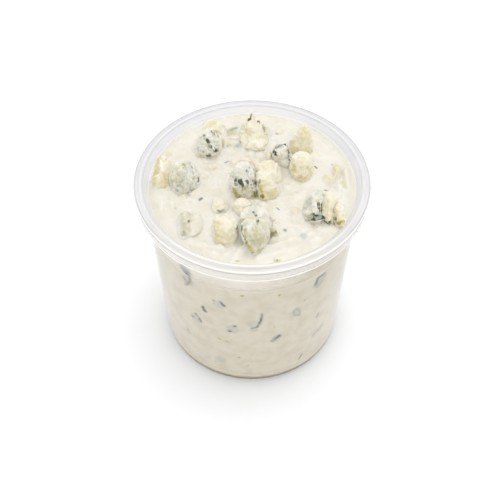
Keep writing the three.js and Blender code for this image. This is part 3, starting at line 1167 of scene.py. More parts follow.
    def outlined(self, points: np.ndarray) -> np.ndarray:
        """Spreads points over the level until what stands clear of the dip fills the outline as seen.

        Round the outline's middle, each angle has a reach wanted, between its two nearest corners,
        and a reach found, that of the furthest clear point seen there. Points move out or in by the
        ratio of the two, all of it at the edge and none of it at the middle.

        Args:
            points: places in millimetres, one a row.

        Returns:
            The points after the moves.
        """
        corners = np.array(self.outline)
        middle = (corners.min(axis=0) + corners.max(axis=0)) / 2
        clear = points[:, 2] > DIP_LEVEL + (self.sunk_clearance if self.sunk else self.clearance)
        seen = VIEW.seen(points)
        points = points + VIEW.slide(points, middle - (seen[clear].min(axis=0) + seen[clear].max(axis=0)) / 2)
        rim = np.linspace(-np.pi, np.pi, self.sectors + 1)
        wanted = np.arctan2(*(corners - middle).T[::-1])
        order = np.argsort(wanted)
        far = np.linalg.norm(corners - middle, axis=1)
        wanted = np.interp(rim, wanted[order], far[order], period=2 * np.pi)
        for _ in range(2):
            across = VIEW.seen(points) - middle
            angle, reach = np.arctan2(across[:, 1], across[:, 0]), np.linalg.norm(across, axis=1)
            sector = np.rint((angle[clear] + np.pi) / (rim[1] - rim[0])).astype(int)
            found = np.full(len(rim), 1.0)
            np.maximum.at(found, sector, reach[clear])
            found[0] = found[-1] = max(found[0], found[-1])
            ratio = wanted / found
            ratio[1:-1] = (ratio[:-2] + 2 * ratio[1:-1] + ratio[2:]) / 4
            share = smooth(0.0, 0.8, reach / np.interp(angle, rim, found))
            growth = share * (np.interp(angle, rim, ratio) - 1)
            points = points + VIEW.slide(points, across * growth[:, None])
        return points

    @staticmethod
    def painted_shade_and_straw(points: np.ndarray, quads: np.ndarray, crags: np.ndarray) -> np.ndarray:
        """How much painted shade each point takes: more where it faces sideways, is low, or is in a crease.

        Args:
            points: places in millimetres, one a row.
            quads: point numbers, four a face.
            crags: how far each point stands out of its creases.

        Returns:
            A share from 0 to 1 for each point.
        """
        facing = normals(points, quads)[:, 2]
        height = (points[:, 2] - DIP_LEVEL) / (points[:, 2].max() - DIP_LEVEL)
        turned_away = 1 - smooth(-0.1, 0.75, facing + 0.15 * cloud(points, 2.0, 61, octaves=2))
        low, deep = 1 - smooth(0.1, 0.95, height), 1 - smooth(-0.26, -0.08, crags)
        return np.clip(turned_away * (0.2 + 0.6 * low) + 0.5 * deep, 0, 1)

    @staticmethod
    def fitted(points: np.ndarray, low: np.ndarray, high: np.ndarray) -> np.ndarray:
        """Stretches points along X, Y and Z so that they fill a box."""
        least, most = points.min(axis=0), points.max(axis=0)
        return low + (points - least) * (high - low) / (most - least)

    def chains(self, points: np.ndarray) -> list[tuple[np.ndarray, Mark]]:
        """Each mark's corners on the crumble: the nearest point seen at each place it covers.

        Args:
            points: places in millimetres, one a row.

        Returns:
            Corners and mark, for the marks that fall on it.
        """
        seen = VIEW.seen(points)
        depth = np.linalg.norm(points - VIEW.axes()[0], axis=1)
        found = []
        for mark in self.marks:
            corners = []
            for place in mark.path:
                away = np.linalg.norm(seen - np.array(place), axis=1)
                if away.min() < self.mark_catch:
                    close = np.flatnonzero(away < away.min() + self.mark_slack)
                    corners.append(points[close[np.argmin(depth[close])]])
            if corners:
                found.append((np.array(corners), mark))
        return found

    def marbling(self, points: np.ndarray) -> np.ndarray:
        """Threads of mould all over: dark where one noise is near nought and another is high.

        Args:
            points: places in millimetres, one a row.

        Returns:
            A shade for each point.
        """
        thread = 1 - smooth(0.02, 0.2, np.abs(cloud(points, 3.6, self.seed + 31, octaves=2)))
        where = smooth(0.0, 0.5, cloud(points, 4.5, self.seed + 41, octaves=2))
        bloom = smooth(-0.1, 0.5, cloud(points, 3.4, self.seed + 51, octaves=2))
        return self.marbled * (0.32 * thread * where + 0.2 * bloom)

    def waterline(self, points: np.ndarray) -> Waterline:
        """The crumble's outline where it stands in the dip.

        Args:
            points: places in millimetres, one a row.

        Returns:
            The outline.
        """
        band = np.abs(points[:, 2] - DIP_LEVEL - MARK_RISE) < self.waterline_band
        middle = (points[band].min(axis=0) + points[band].max(axis=0))[:2] / 2
        across = points[band][:, :2] - middle
        angle = np.arctan2(across[:, 1], across[:, 0])
        order = np.argsort(angle)
        rim = np.linspace(-np.pi, np.pi, self.waterline_sectors + 1)
        radius = np.interp(rim, angle[order], np.linalg.norm(across, axis=1)[order], period=2 * np.pi)
        return Waterline(middle, rim, radius, self.sunk)

    def build(self) -> Waterline:
        """Makes the crumble.

        Returns:
            Its outline in the dip.
        """
        points, quads, coat, painted_shade_and_straw = self.surface()
        stains = stained(points, self.chains(points), wobble=0.5, holes=0.4)
        slot = "pale_cheese"
        if self.finish is VEINED_FINISH:
            stains["mould"] = np.maximum(stains["mould"], self.marbling(points))
            slot = "veined_cheese"
        attributes = {**stains, "coat": coat, "painted_shade_and_straw": painted_shade_and_straw}
        piece = make_piece(f"curd_{self.node}", points, quads.tolist(), attributes)
        settle(piece, MATERIALS[self.finish.name], slot, self.node)
        return self.waterline(points)


# ------------------------------------------------------------------ what shows on each crumble


def spot(column: float, row: float, width: float, shade: float = 1.0, soft: float = 0.4) -> Mark:
    """A round mark of mould seen at one place."""
    return Mark(((column, row),), width, shade, soft)


def vein(*path: tuple[float, float], width: float = 0.8, shade: float = 1.0, soft: float = 0.4) -> Mark:
    """A vein of mould through the places where it is seen."""
    return Mark(path, width, shade, soft)


def herb(*path: tuple[float, float], width: float = 0.8, shade: float = 0.9, soft: float = 0.4) -> Mark:
    """An olive herb fleck, or a patch of painted olive or straw shade, through the places where it is seen.
    """
    return Mark(path, width, shade, soft, Pigment.HERB)


# The herb marks here are painted olive and straw shade, in the gap between the centre crumbles, along their
# feet and on the ivory one's top; the veins and spots are mould.
CENTRE_MARKS = (
    spot(238, 170, 4.0, 0.2, 1.5), spot(248, 173, 4.0, 0.2, 1.5), spot(248, 170.5, 1.6, 0.7),
    spot(250.5, 167, 0.8, 0.6), vein((234.5, 180.5), (235, 185), width=1.4, shade=0.9),
    vein((240, 180), (242.5, 187), width=1.9, shade=0.95),
    vein((231, 176), (236, 177), (243, 179), width=0.6, shade=0.55, soft=0.8), spot(241.5, 190, 1.0, 0.75),
    vein((248.5, 181), (248.5, 185), width=1.5, shade=0.9),
    vein((252, 184.5), (257, 183), width=0.9, shade=0.8), vein((258.5, 181), (258.5, 188), shade=0.9),
    herb((255, 194), (261, 197), width=1.6, shade=0.85, soft=0.9),
    herb((244, 189), (250, 188), width=1.6, shade=0.35, soft=1.4),
    herb((253, 197), (260, 197.5), shade=0.7, soft=0.8),
    herb((258.5, 186), (260.5, 192), (262.5, 198), width=0.7, shade=0.55, soft=0.8),
    herb((232.5, 190), (235, 194.5), (239, 197.5), width=1.3, shade=0.6, soft=1.0),
    spot(252.8, 187, 1.3, 0.85), herb((262, 185), (264, 190), width=2.0, shade=0.2, soft=2.0),
    herb((266, 196), (277, 194), width=2.0, shade=0.3, soft=2.0),
    herb((264, 165), (271, 164), width=2.4, shade=0.15, soft=2.0),
)

# Mould veins and spots; the herb marks in the gap beside the ivory crumble, on the concave face and along the
# foot are painted shade, the broad faint ones an olive tint.
FRONT_MARKS = (
    vein((253.5, 211), (255.5, 214.5), width=0.9, shade=0.85),
    vein((257.5, 219), (257.5, 222), width=1.0, shade=0.9), spot(244, 223, 1.6, 0.4, 1.2),
    vein((240, 226), (241, 234), (243.5, 239), width=0.9, shade=0.85),
    herb((244, 230), (244, 236), width=1.2, shade=0.55, soft=0.9),
    herb((245, 244), (248, 248), (251, 252.5), width=1.6, shade=0.75, soft=0.9),
    herb((254, 228), (258, 222), width=1.4, shade=0.25, soft=1.4),
    herb((252, 253), (262, 251), width=1.2, shade=0.35, soft=1.5),
    vein((268.5, 236), (267, 243), width=0.7, shade=0.6), herb((258, 240), width=5.0, shade=0.3, soft=3.5),
    spot(258, 241, 3.6, 0.38, 2.5), herb((264, 226), (266, 234), width=3.5, shade=0.16, soft=2.5),
    spot(262, 226, 4.0, 0.2, 2.5), herb((250, 218), width=4.0, shade=0.12, soft=2.0),
)

BACK_MARKS = (
    vein((212.5, 130), (213.5, 133.5), width=1.1, shade=0.85),
    vein((203.5, 134.5), (203, 138), width=1.1, shade=0.75),
    vein((207, 141), (209.5, 146), width=1.4, shade=0.95),
    vein((210, 147), (214.5, 150.5), width=0.6, shade=0.75),
    vein((216, 151.5), (219.5, 150), width=1.6, shade=0.95), spot(216, 147.5, 0.9, 0.6),
    vein((206.5, 157), (210, 156.5), width=1.0, shade=0.85), spot(210.5, 154.5, 1.0, 0.7),
    herb((200.5, 157), width=1.6, shade=0.3, soft=1.0),
    herb((217.5, 131.5), (219, 133), width=1.6, shade=0.4, soft=1.2), spot(202.5, 153, 1.0, 0.55),
    vein((196.5, 148), (197.5, 154), width=0.7, shade=0.5), spot(199, 141, 1.6, 0.25, 1.5),
)

# Mould veins and spots; the dark marks along the pale crumbles' feet and the broad faint herb patches on them
# are painted shade.
CLUSTER_MARKS = (
    vein((319.5, 202.5), (320, 208), width=1.2, shade=0.9), vein((320.5, 209), (320, 216), shade=0.8),
    vein((317, 218), (320.5, 218.5), width=2.4), vein((311.5, 214), (309, 218.5), width=1.9, shade=0.9),
    vein((308, 219.5), (316, 220.5), width=1.7, shade=0.9), spot(306, 205, 3.0, 0.3, 1.5),
    spot(309.5, 198, 1.6, 0.45, 1.2), herb((306, 215), (310, 214), shade=0.3, soft=1.2),
    vein((323.5, 222), (329, 225), width=1.3, shade=0.8),
    vein((329, 224), (332, 223.5), width=1.5, shade=0.9), vein((334, 219), (335, 222), shade=0.8),
    vein((303.5, 214), (306, 218), width=0.7, shade=0.5), herb((329, 206), width=5.0, shade=0.16, soft=3.0),
    herb((335, 212), (336.5, 217), width=1.4, shade=0.2, soft=1.8),
    herb((338, 224), (344, 223), width=1.7, shade=0.7, soft=0.9), spot(326, 208, 2.0, 0.18, 1.8),
    spot(322.5, 211, 1.4, 0.2, 1.2), herb((318, 200), width=1.0, shade=0.25, soft=1.0),
)

BLUE_MARKS = (
    vein((272.5, 151), (274.5, 154), width=2.0, shade=0.95),
    vein((275, 147), (279.5, 144.5), (284, 143.5), width=1.0, shade=0.65, soft=0.8),
    vein((286, 144), (289, 149), width=1.3, shade=0.9),
    vein((289.5, 150), (291, 160), width=1.0, shade=0.85), spot(282, 145, 2.4, 0.25, 1.2),
    herb((291.5, 144), (292, 149), width=1.6, shade=0.35, soft=1.4), spot(287, 168, 1.6, 0.2, 1.4),
)

CRUMBLES = (
    Crumble(
        "crumble_centre_veined", 139, VEINED_FINISH, marbled=0.8, bare_grain=0.5, marks=CENTRE_MARKS,
        outline=(
            (231, 171), (234, 166), (239, 162), (246, 161), (251, 164), (256.5, 171), (258.5, 179),
            (258.5, 189), (257.5, 197), (248, 198.5), (239, 199), (233, 195), (230, 187), (229.5, 178),
        ),
    ),
    Crumble(
        "crumble_centre_ivory", 90, PALE_FINISH, bare_grain=0.3, marks=CENTRE_MARKS,
        outline=(
            (253, 171), (255.5, 165), (264, 161), (272, 160), (278, 163.5), (281, 171), (281.5, 181),
            (280, 191), (276, 197), (268, 199.5), (260, 199.5), (256.5, 192), (254.5, 182),
        ),
    ),
    Crumble(
        "crumble_front_green", 876, VEINED_FINISH, taper=0.25, marks=FRONT_MARKS,
        outline=(
            (240, 226), (244, 220), (251, 217.5), (260, 218), (267, 221), (269.5, 228), (270, 236),
            (267, 244), (262, 251), (255, 254.5), (249, 251), (244, 243), (241, 235),
        ),
    ),
    Crumble(
        "crumble_front_shelf", 269, VEINED_FINISH, taper=0.15, coat_height=4.5, marks=FRONT_MARKS,
        outline=(
            (240, 221), (240.5, 213), (245, 208), (252, 205.5), (261, 206.5), (268, 211), (271, 218),
            (270, 226), (262, 230), (250, 230), (242, 228),
        ),
    ),
    Crumble(
        "crumble_front_ivory", 321, PALE_FINISH, taper=0.25, bare_grain=0.35,
        outline=(
            (216, 214.5), (222, 213.5), (230, 214), (235, 217.5), (238, 223), (239, 231), (237.5, 238),
            (234, 243), (226, 246), (218, 244.5), (213.5, 240), (212, 233), (212, 226), (213, 219),
        ),
        marks=(
            # Its herb marks are painted straw shade on its left side, its lower right face and along its
            # foot.
            herb((214, 224), (215, 237), width=2.2, shade=0.38, soft=2.0),
            herb((231, 236), (232, 242), width=1.4, shade=0.18, soft=2.0),
            herb((219, 244), (229, 245), width=1.6, shade=0.25, soft=1.5),
            vein((239.5, 226), (240, 232), width=0.9, shade=0.7), spot(222, 214, 1.4, 0.25, 1.0),
            herb((221, 232), (222, 240), width=1.6, shade=0.2, soft=1.6),
        ),
    ),
    Crumble(
        "crumble_left_veined", 9, VEINED_FINISH, bare_grain=0.5,
        outline=(
            (169, 175), (171, 169), (175, 163.5), (181, 160), (187, 159.5), (192, 161.5), (195.5, 166),
            (198.5, 172), (200, 178), (199, 184), (196, 189), (191, 193), (184, 195.5), (178, 194.5),
            (173, 191), (169.5, 184),
        ),
        marks=(
            # The olive patches on its left half, the faint vein down its left edge and the one down its
            # middle crease are painted shade; the rest are mould.
            spot(184, 166.5, 0.9, 0.9), herb((184, 164), width=1.8, shade=0.6, soft=1.0),
            vein((191, 162), (193.5, 167.5), width=1.0, shade=0.65),
            vein((193.5, 170), (195.5, 180), width=0.6, shade=0.5),
            vein((199.5, 177.5), (199.5, 181), width=1.2, shade=0.95), spot(197.8, 184, 1.2, 0.9),
            spot(179, 183, 3.4, 0.5, 2.0), vein((174, 189), (179, 192.5), width=1.2, shade=0.6),
            vein((183, 194.5), (190, 193), (195, 189), width=1.2, shade=0.65),
            herb((172, 176), (175, 170), width=3.0, shade=0.25, soft=2.0),
            herb((178, 176), width=4.0, shade=0.18, soft=2.0),
            vein((186.5, 168), (186, 178), (187, 188), width=0.6, shade=0.4, soft=0.9),
            spot(191, 184, 2.4, 0.3, 1.6), spot(190, 168, 2.4, 0.3, 1.4),
            vein((171, 172), (170, 180), (171, 186), shade=0.5, soft=0.8), spot(188, 162, 2.4, 0.3, 1.4),
        ),
    ),
    Crumble(
        "crumble_left_wall", 320, PALE_FINISH, taper=0.15, coat_height=5.0,
        outline=(
            (159, 156), (164, 155.5), (169, 160), (171, 168), (171, 178), (169, 185), (163, 188),
            (157, 187), (153, 182), (152, 174), (154, 165),
        ),
        marks=(
            # The marks down its side against the wall and at its foot are painted shade.
            herb((163, 182), (168, 176), width=1.8, shade=0.3, soft=3.0),
            herb((163.5, 185), width=1.4, shade=0.45, soft=1.0),
            herb((158, 157), (155, 170), (153, 183), width=2.0, shade=0.4, soft=1.6),
            vein((158, 160), (156, 168), (154, 174), width=1.0, shade=0.4, soft=1.2),
        ),
    ),
    Crumble(
        "crumble_back_veined", 929, VEINED_FINISH, marbled=0.4, bare_grain=0.5, coat_height=4.5,
        marks=BACK_MARKS,
        outline=(
            (196, 141), (198.5, 135.5), (202, 131.5), (206.5, 128.5), (212, 128), (217, 130.5), (221, 136),
            (222.5, 142), (222, 148), (219, 152.5), (214, 156), (207, 157.8), (201, 157.5), (196, 155),
            (194.5, 149),
        ),
    ),
    Crumble(
        "crumble_back_cream", 383, PALE_FINISH, coat_height=4.0,
        outline=(
            (205, 123.5), (209, 119.5), (215, 120), (221, 123), (224.5, 128), (225, 135), (221, 140),
            (213, 141), (206, 137), (203.5, 130),
        ),
        marks=(
            *BACK_MARKS, herb((207, 128), (212, 122), width=3.0, shade=0.22, soft=2.0),
        ),
    ),
    Crumble(
        "crumble_back_peak", 160, PALE_FINISH, taper=0.6, lean=-0.15, bare_grain=0.45,
        outline=(
            (251, 111), (256, 115), (261, 120), (265, 126), (267.5, 133), (267, 141), (262, 147),
            (254, 149), (246, 148), (241, 143), (239, 135), (241, 128), (244, 121), (248, 114.5),
        ),
        marks=(
            vein((250, 115), (248.5, 118.5), width=1.5, shade=0.95),
            vein((247, 119.5), (242.5, 125), width=0.7, shade=0.4),
            vein((258.5, 120.5), (261, 122), width=1.0, shade=0.8),
            vein((262, 123), (264.5, 127), (266.5, 133), width=1.0, shade=0.6),
            herb((249, 134), width=2.4, shade=0.2, soft=2.2),
            herb((264, 138), width=2.0, shade=0.2, soft=1.8), spot(243, 126, 2.0, 0.25, 1.5),
            vein((251, 112), (255, 117), width=1.0, shade=0.25, soft=1.2),
        ),
    ),
    Crumble(
        "crumble_back_small", 135, PALE_FINISH,
        outline=(
            (247, 143), (251, 140), (258, 139.5), (264.5, 139.5), (267.5, 143), (266, 148.5), (262, 152),
            (254, 153), (248, 150.5), (245.5, 147),
        ),
    ),
    Crumble(
        "crumble_right_peak", 393, PALE_FINISH, taper=0.45, lean=0.2, bare_grain=0.3,
        outline=(
            (303.5, 124.5), (308, 126.5), (310.5, 132), (312.5, 138), (313.5, 145), (312.5, 151),
            (306, 154), (299, 153.5), (293, 152), (289.5, 147.5), (289, 141.5), (293, 136), (297, 130.5),
            (300, 127),
        ),
        marks=(
            # The herb marks on its left face and along its foot are painted shade.
            herb((291, 144), (292.5, 149), width=1.6, shade=0.28, soft=1.5),
            herb((303, 128), (307, 136), width=3.0, shade=0.26, soft=2.6),
            herb((297, 151), (312, 150), width=1.6, shade=0.3, soft=1.5),
            herb((300, 142), width=5.0, shade=0.12, soft=3.0),
        ),
    ),
    Crumble(
        "crumble_right_rough", 865, PALE_FINISH, bare_grain=0.5,
        outline=(
            (292, 156), (295.5, 152.5), (301, 151), (307, 152), (311.5, 156), (313, 162), (313.5, 169),
            (312, 175), (308.5, 179), (303, 181), (297, 180), (292, 176.5), (289.5, 171), (290, 163),
        ),
        marks=(
            # Its herb marks are painted ochre shade, low on its sides and over its middle.
            herb((294, 170), width=2.6, shade=0.32, soft=1.8),
            herb((300, 178.5), (307, 177), width=2.0, shade=0.32, soft=1.8),
            herb((311, 168), (311.5, 175), width=1.2, shade=0.3, soft=1.2),
            herb((300, 165), width=5.0, shade=0.1, soft=3.0),
        ),
    ),
    Crumble(
        "crumble_right_blue", 375, VEINED_FINISH, marbled=0.0, taper=0.25, bare_grain=0.45, coat_height=5.0,
        marks=BLUE_MARKS,
        outline=(
            (271.5, 152), (274, 146), (279, 142.5), (285, 142), (289, 146), (291.5, 153), (292, 161),
            (290.5, 165), (287, 168.5), (282, 166.5), (277.5, 162), (273, 158),
        ),
    ),
    Crumble(
        "crumble_cluster_veined", 50, VEINED_FINISH, marbled=0.6, bare_grain=0.5, coat_height=3.5,
        marks=CLUSTER_MARKS,
        outline=(
            (302.5, 210), (304, 202), (307, 196), (312, 191), (318, 188), (323, 190), (325, 197),
            (323, 205), (322.5, 213), (324, 219), (318, 222.5), (310, 221.5), (305, 218),
        ),
    ),
    Crumble(
        "crumble_cluster_pale", 216, PALE_FINISH, marks=CLUSTER_MARKS,
        outline=(
            (318.5, 203), (320, 196), (328, 192.5), (334, 194), (338, 201), (339, 210), (337.5, 217),
            (335, 222), (330, 225), (325.5, 222), (321.5, 217), (320, 210),
        ),
    ),
    Crumble(
        "crumble_cluster_outer", 149, PALE_FINISH, marks=CLUSTER_MARKS,
        outline=(
            (334, 204), (338, 199.5), (342, 204), (343.5, 211), (344.5, 217), (347, 221), (345, 224.5),
            (340, 226.5), (336, 224.5), (333, 219), (332, 211),
        ),
    ),
    Crumble(
        "crumble_front_left_sunk", 612, VEINED_FINISH, sunk=True, flare=0.0, marbled=0.0, taper=0.1,
        coat_height=7.0,
        outline=(
            (178.5, 215), (182, 210.5), (187, 208.5), (193, 209), (198, 211.5), (201.5, 216), (203, 222),
            (202, 228), (198, 233.5), (191, 236.5), (184, 236), (179.5, 232.5), (177.5, 224),
        ),
        marks=(
            spot(188.5, 220, 1.0, 0.9, 0.6),
            vein((181, 213), (180.5, 222), (183, 231), width=1.4, shade=0.3, soft=1.8),
            spot(183, 232, 1.6, 0.6, 1.6),
            herb((186, 213), (185, 222), (185, 230), width=3.0, shade=0.2, soft=2.0),
            spot(190, 214, 2.0, 0.22, 1.5), spot(187, 229.5, 1.6, 0.35, 1.6),
            herb((196, 216), (197, 226), width=3.5, shade=0.1, soft=2.5),
        ),
    ),
    Crumble(
        "crumble_front_nub", 65, VEINED_FINISH,
        outline=(
            (268, 231), (272, 227), (277, 227.5), (279.5, 231), (278.5, 235), (273, 238), (268, 237),
        ),
        marks=(
            herb((271, 236.5), (276, 234), width=1.3, shade=0.75, soft=0.9), spot(270, 237, 0.9, 0.6),
            herb((270, 230), width=1.6, shade=0.25, soft=1.0),
        ),
    ),
    Crumble(
        "crumble_middle_small", 332, PALE_FINISH, sunk=True, flare=0.0, coat_height=4.0,
        outline=(
            (232, 206), (236, 200), (242, 197.5), (248, 200), (251, 205), (249, 211), (243, 215),
            (236, 213),
        ),
    ),
    Crumble(
        "crumble_middle_sunk", 580, PALE_FINISH, sunk=True, flare=0.0, taper=0.15, coat_height=4.0,
        outline=(
            (211, 206), (213, 200), (219, 197.5), (225, 199.5), (227.5, 205), (226, 211), (219, 214),
            (213, 212),
        ),
        marks=(
            # A painted dark line of shade along its foot.
            vein((217, 211.5), (220, 213), (225, 211), width=0.9, shade=0.6),
        ),
    ),
)


# ------------------------------------------------------------------ dip


@dataclass(frozen=True)
class Lump:
    """A crumb half sunk in the dip: its middle, its size, how far it stands up and how straw it is."""

    x: float
    y: float
    width: float
    depth: float
    rise: float
    straw: float = 0.4


@dataclass(frozen=True)
class Fold:
    """A soft ridge that the spoon left: its two ends, its breadth and its height."""

    start: tuple[float, float]
    end: tuple[float, float]
    width: float
    height: float


LUMPS = (
    Lump(40.4, 5.0, 4, 11, 2.0, 0.2),
    Lump(36.5, 6.8, 4.2, 9.3, 2.7, 0.9),
    Lump(33, 2.8, 5.4, 6.0, 2.0, 0.7),
    Lump(37.1, -1.9, 3.8, 5.9, 1.5, 0.0),
    Lump(-7.1, 25.8, 6.4, 8.6, 2.8, 0.4),
    Lump(-11.5, 24.7, 4.8, 8.0, 2.2),
    Lump(-3.5, 29.8, 5.3, 8.6, 3.4),
    Lump(5.3, 29.4, 5.3, 7.8, 3.0, 0.5),
    Lump(-0.9, 17.0, 5.4, 5.5, 0.9, 0.0),
    Lump(3.3, 15.5, 4.8, 5.0, 0.9, 0.0),
    Lump(7.2, 15.4, 3, 5.8, 1.8, 0.5),
    Lump(2.1, 10.2, 4.3, 6.6, 2.2),
    Lump(10.6, 8, 3, 2.6, 1.6, 0.8),
    Lump(-7.8, 12.0, 4.3, 4.2, 1.8, 0.0),
    Lump(-3.0, 12.2, 6.0, 4.5, 2.0, 0.1),
    Lump(-17.6, 9.6, 5.4, 4, 1.0, 0.25),
    Lump(-20.6, 4.8, 4.4, 3.4, 0.9, 0.25),
    Lump(-36.2, 17.4, 3, 3, 1.4, 0.9),
    Lump(5.1, -14.8, 6.4, 7.0, 1.9, 0.2),
    Lump(8, -13, 5.6, 4.4, 1.0, 0.3),
    Lump(17.5, -15.7, 4.0, 5.4, 1.1, 0.5),
    Lump(29.0, -9.4, 12.0, 6.0, 2.6, 0.2),
    Lump(12.4, 32, 4.4, 3.8, 1.0, 0.3),
)

FOLDS = (
    Fold((-22, 12), (-13, 3), 3.0, 0.8),
    Fold((-19, 14), (-10, 6), 2.4, 0.8),
    Fold((-38, -12), (-22, -9), 4.0, 0.9),
    Fold((4, -37), (24, -29), 4.0, 1.5),
    Fold((8, -22), (24, -26), 3.5, 0.9),
    Fold((14, -8), (22, -4), 3.0, 0.8),
    Fold((-8, -41), (-2, -34), 3.5, 1.4),
    Fold((-24, -34), (-12, -36), 3.0, 1.2),
    Fold((26, 14), (36, 18), 4.0, 0.6),
    Fold((-30, 18), (-24, 28), 4.0, 0.6),
    Fold((36, -12), (41, -2), 2.4, 0.8),
)

# Mould and herb flecks on the dip's top, and painted shade: the contact shadow under the left veined crumble,
# the broad faint herb patches at the left, and the dark lines at the feet of the centre and middle sunk
# crumbles.
TOP_MARKS = (
    vein((225, 161.5), (228.5, 160), width=0.4, shade=0.7),
    vein((199.5, 200.5), (202, 199), width=0.6, shade=0.75, soft=0.7), spot(187, 200, 0.7, 0.5),
    herb((180, 197.5), (188, 197), width=1.2, shade=0.3, soft=1.2),
    herb((183, 204), (208, 201), width=12.0, shade=0.04, soft=5.0),
    herb((229, 135), (233, 131), width=2.0, shade=0.2, soft=1.6),
    herb((343, 181), (346, 187), shade=0.15, soft=1.2), spot(175, 208, 0.8, 0.4),
    vein((230.5, 131.5), (233, 129), (236.5, 127), width=0.7, shade=0.6, soft=0.8),
    vein((275.5, 134), (278, 134.5), width=0.3, shade=0.65),
    vein((315, 165.5), (317, 167), width=0.5, shade=0.85), spot(332, 163, 0.6, 0.6),
    vein((325, 189.5), (328, 190), width=0.4, shade=0.85),
    vein((277, 208), (279, 209.5), width=0.5, shade=0.7), spot(285, 230.5, 1.0, 0.65, 0.9),
    spot(303, 237, 2.0, 0.45, 1.2), vein((236, 146.5), (240, 145.5), width=0.7, shade=0.4, soft=0.7),
    spot(228, 147, 0.9, 0.5), herb((253, 199.5), (259, 200), width=0.4, shade=0.35, soft=0.8),
    herb((153, 206), (158, 212), width=3.0, shade=0.05, soft=4.0),
    herb((150, 190), (168, 191), width=3.0, shade=0.05, soft=3.0), herb((277, 259.5), width=0.5),
    herb((275, 260), (279, 260), width=0.6, shade=0.35, soft=0.8),
    herb((236, 260), (239, 260), width=0.4, shade=0.4),
    vein((217, 212), (220, 213.5), (225, 212), shade=0.55), spot(267, 162, 0.7, 0.7),
    spot(229, 173, 0.5, 0.6), spot(317, 227, 0.5, 0.4),
)

WALL_MARKS = (
    spot(187, 268, 4.6, 1.0, 1.6), vein((184.5, 264), (186, 268), (188, 272), width=2.4, soft=0.8),
    spot(188.5, 279, 5.0, 0.42, 1.6),
    vein((190, 272), (191, 280), (187, 284), width=1.1, shade=0.75, soft=0.8),
    vein((185.5, 276), (187, 282), width=1.0, shade=0.65, soft=0.8),
    vein((314, 285), (317, 277), (323, 272.5), width=1.4, shade=0.8, soft=0.7),
    vein((317.5, 283), (322, 276), width=3.0, shade=0.42, soft=1.4),
    vein((324, 273), (322, 279), (316, 286), shade=0.6, soft=0.7),
    vein((339, 281), (338, 288), shade=0.6, soft=0.6), herb((242, 294.6), width=1.3, shade=1.0),
    herb((279, 294), width=1.2, shade=0.8), spot(279, 294, 1.2, 0.6), spot(214, 299, 1.1, 0.8),
    vein((221, 301), (225, 305), width=1.2, shade=0.9, soft=0.6), spot(219, 303, 4.2, 0.25, 1.4),
    vein((204, 306), (206, 310), width=1.6, soft=0.6), spot(193.5, 315, 1.4, 0.95, 0.6),
    vein((196, 312), (200, 316), (202, 321), width=1.0, shade=0.9, soft=0.6),
    spot(197, 317, 4.4, 0.38, 1.6), spot(205, 309, 3.4, 0.15, 1.4), spot(304, 299, 1.2, 0.6),
    vein((293, 310), (296, 307), (299, 310), (298, 314), (294, 314), (293, 310),
         width=1.1, shade=0.55, soft=0.6),
    spot(296, 311, 3.0, 0.28, 1.2), vein((317, 312), (315.5, 316), shade=0.9),
    spot(177, 304, 3.0, 0.25, 1.4),
    vein((262, 313), (261, 319), (257, 326), (252, 327), width=0.9, shade=0.95, soft=0.6),
    spot(254, 323, 4.4, 0.3, 1.8), spot(254, 328.5, 2.6, 0.4, 1.0), spot(235, 325, 1.4, 0.9, 0.6),
    spot(230, 330, 1.5, 0.9, 0.6), spot(233, 328, 4.6, 0.38, 1.6), vein((189, 328), (191, 332), shade=0.9),
    herb((274, 326), shade=0.7), vein((273, 339), (278, 335), width=2.3, shade=0.6, soft=1.0),
    vein((272, 340), (279, 334), width=0.9, shade=0.95, soft=0.6),
    vein((313, 333), (320, 325), width=2.0, shade=0.48, soft=1.2), herb((219, 337), (221, 338), shade=0.8),
    herb((226, 340), (229, 341), shade=0.8), vein((301, 353), (298, 358), shade=0.85),
    herb((239, 356), width=0.9), spot(221, 358, 3.6, 0.3, 1.8), herb((216, 360), width=0.9, shade=0.6),
    herb((248, 364), shade=0.7),
)


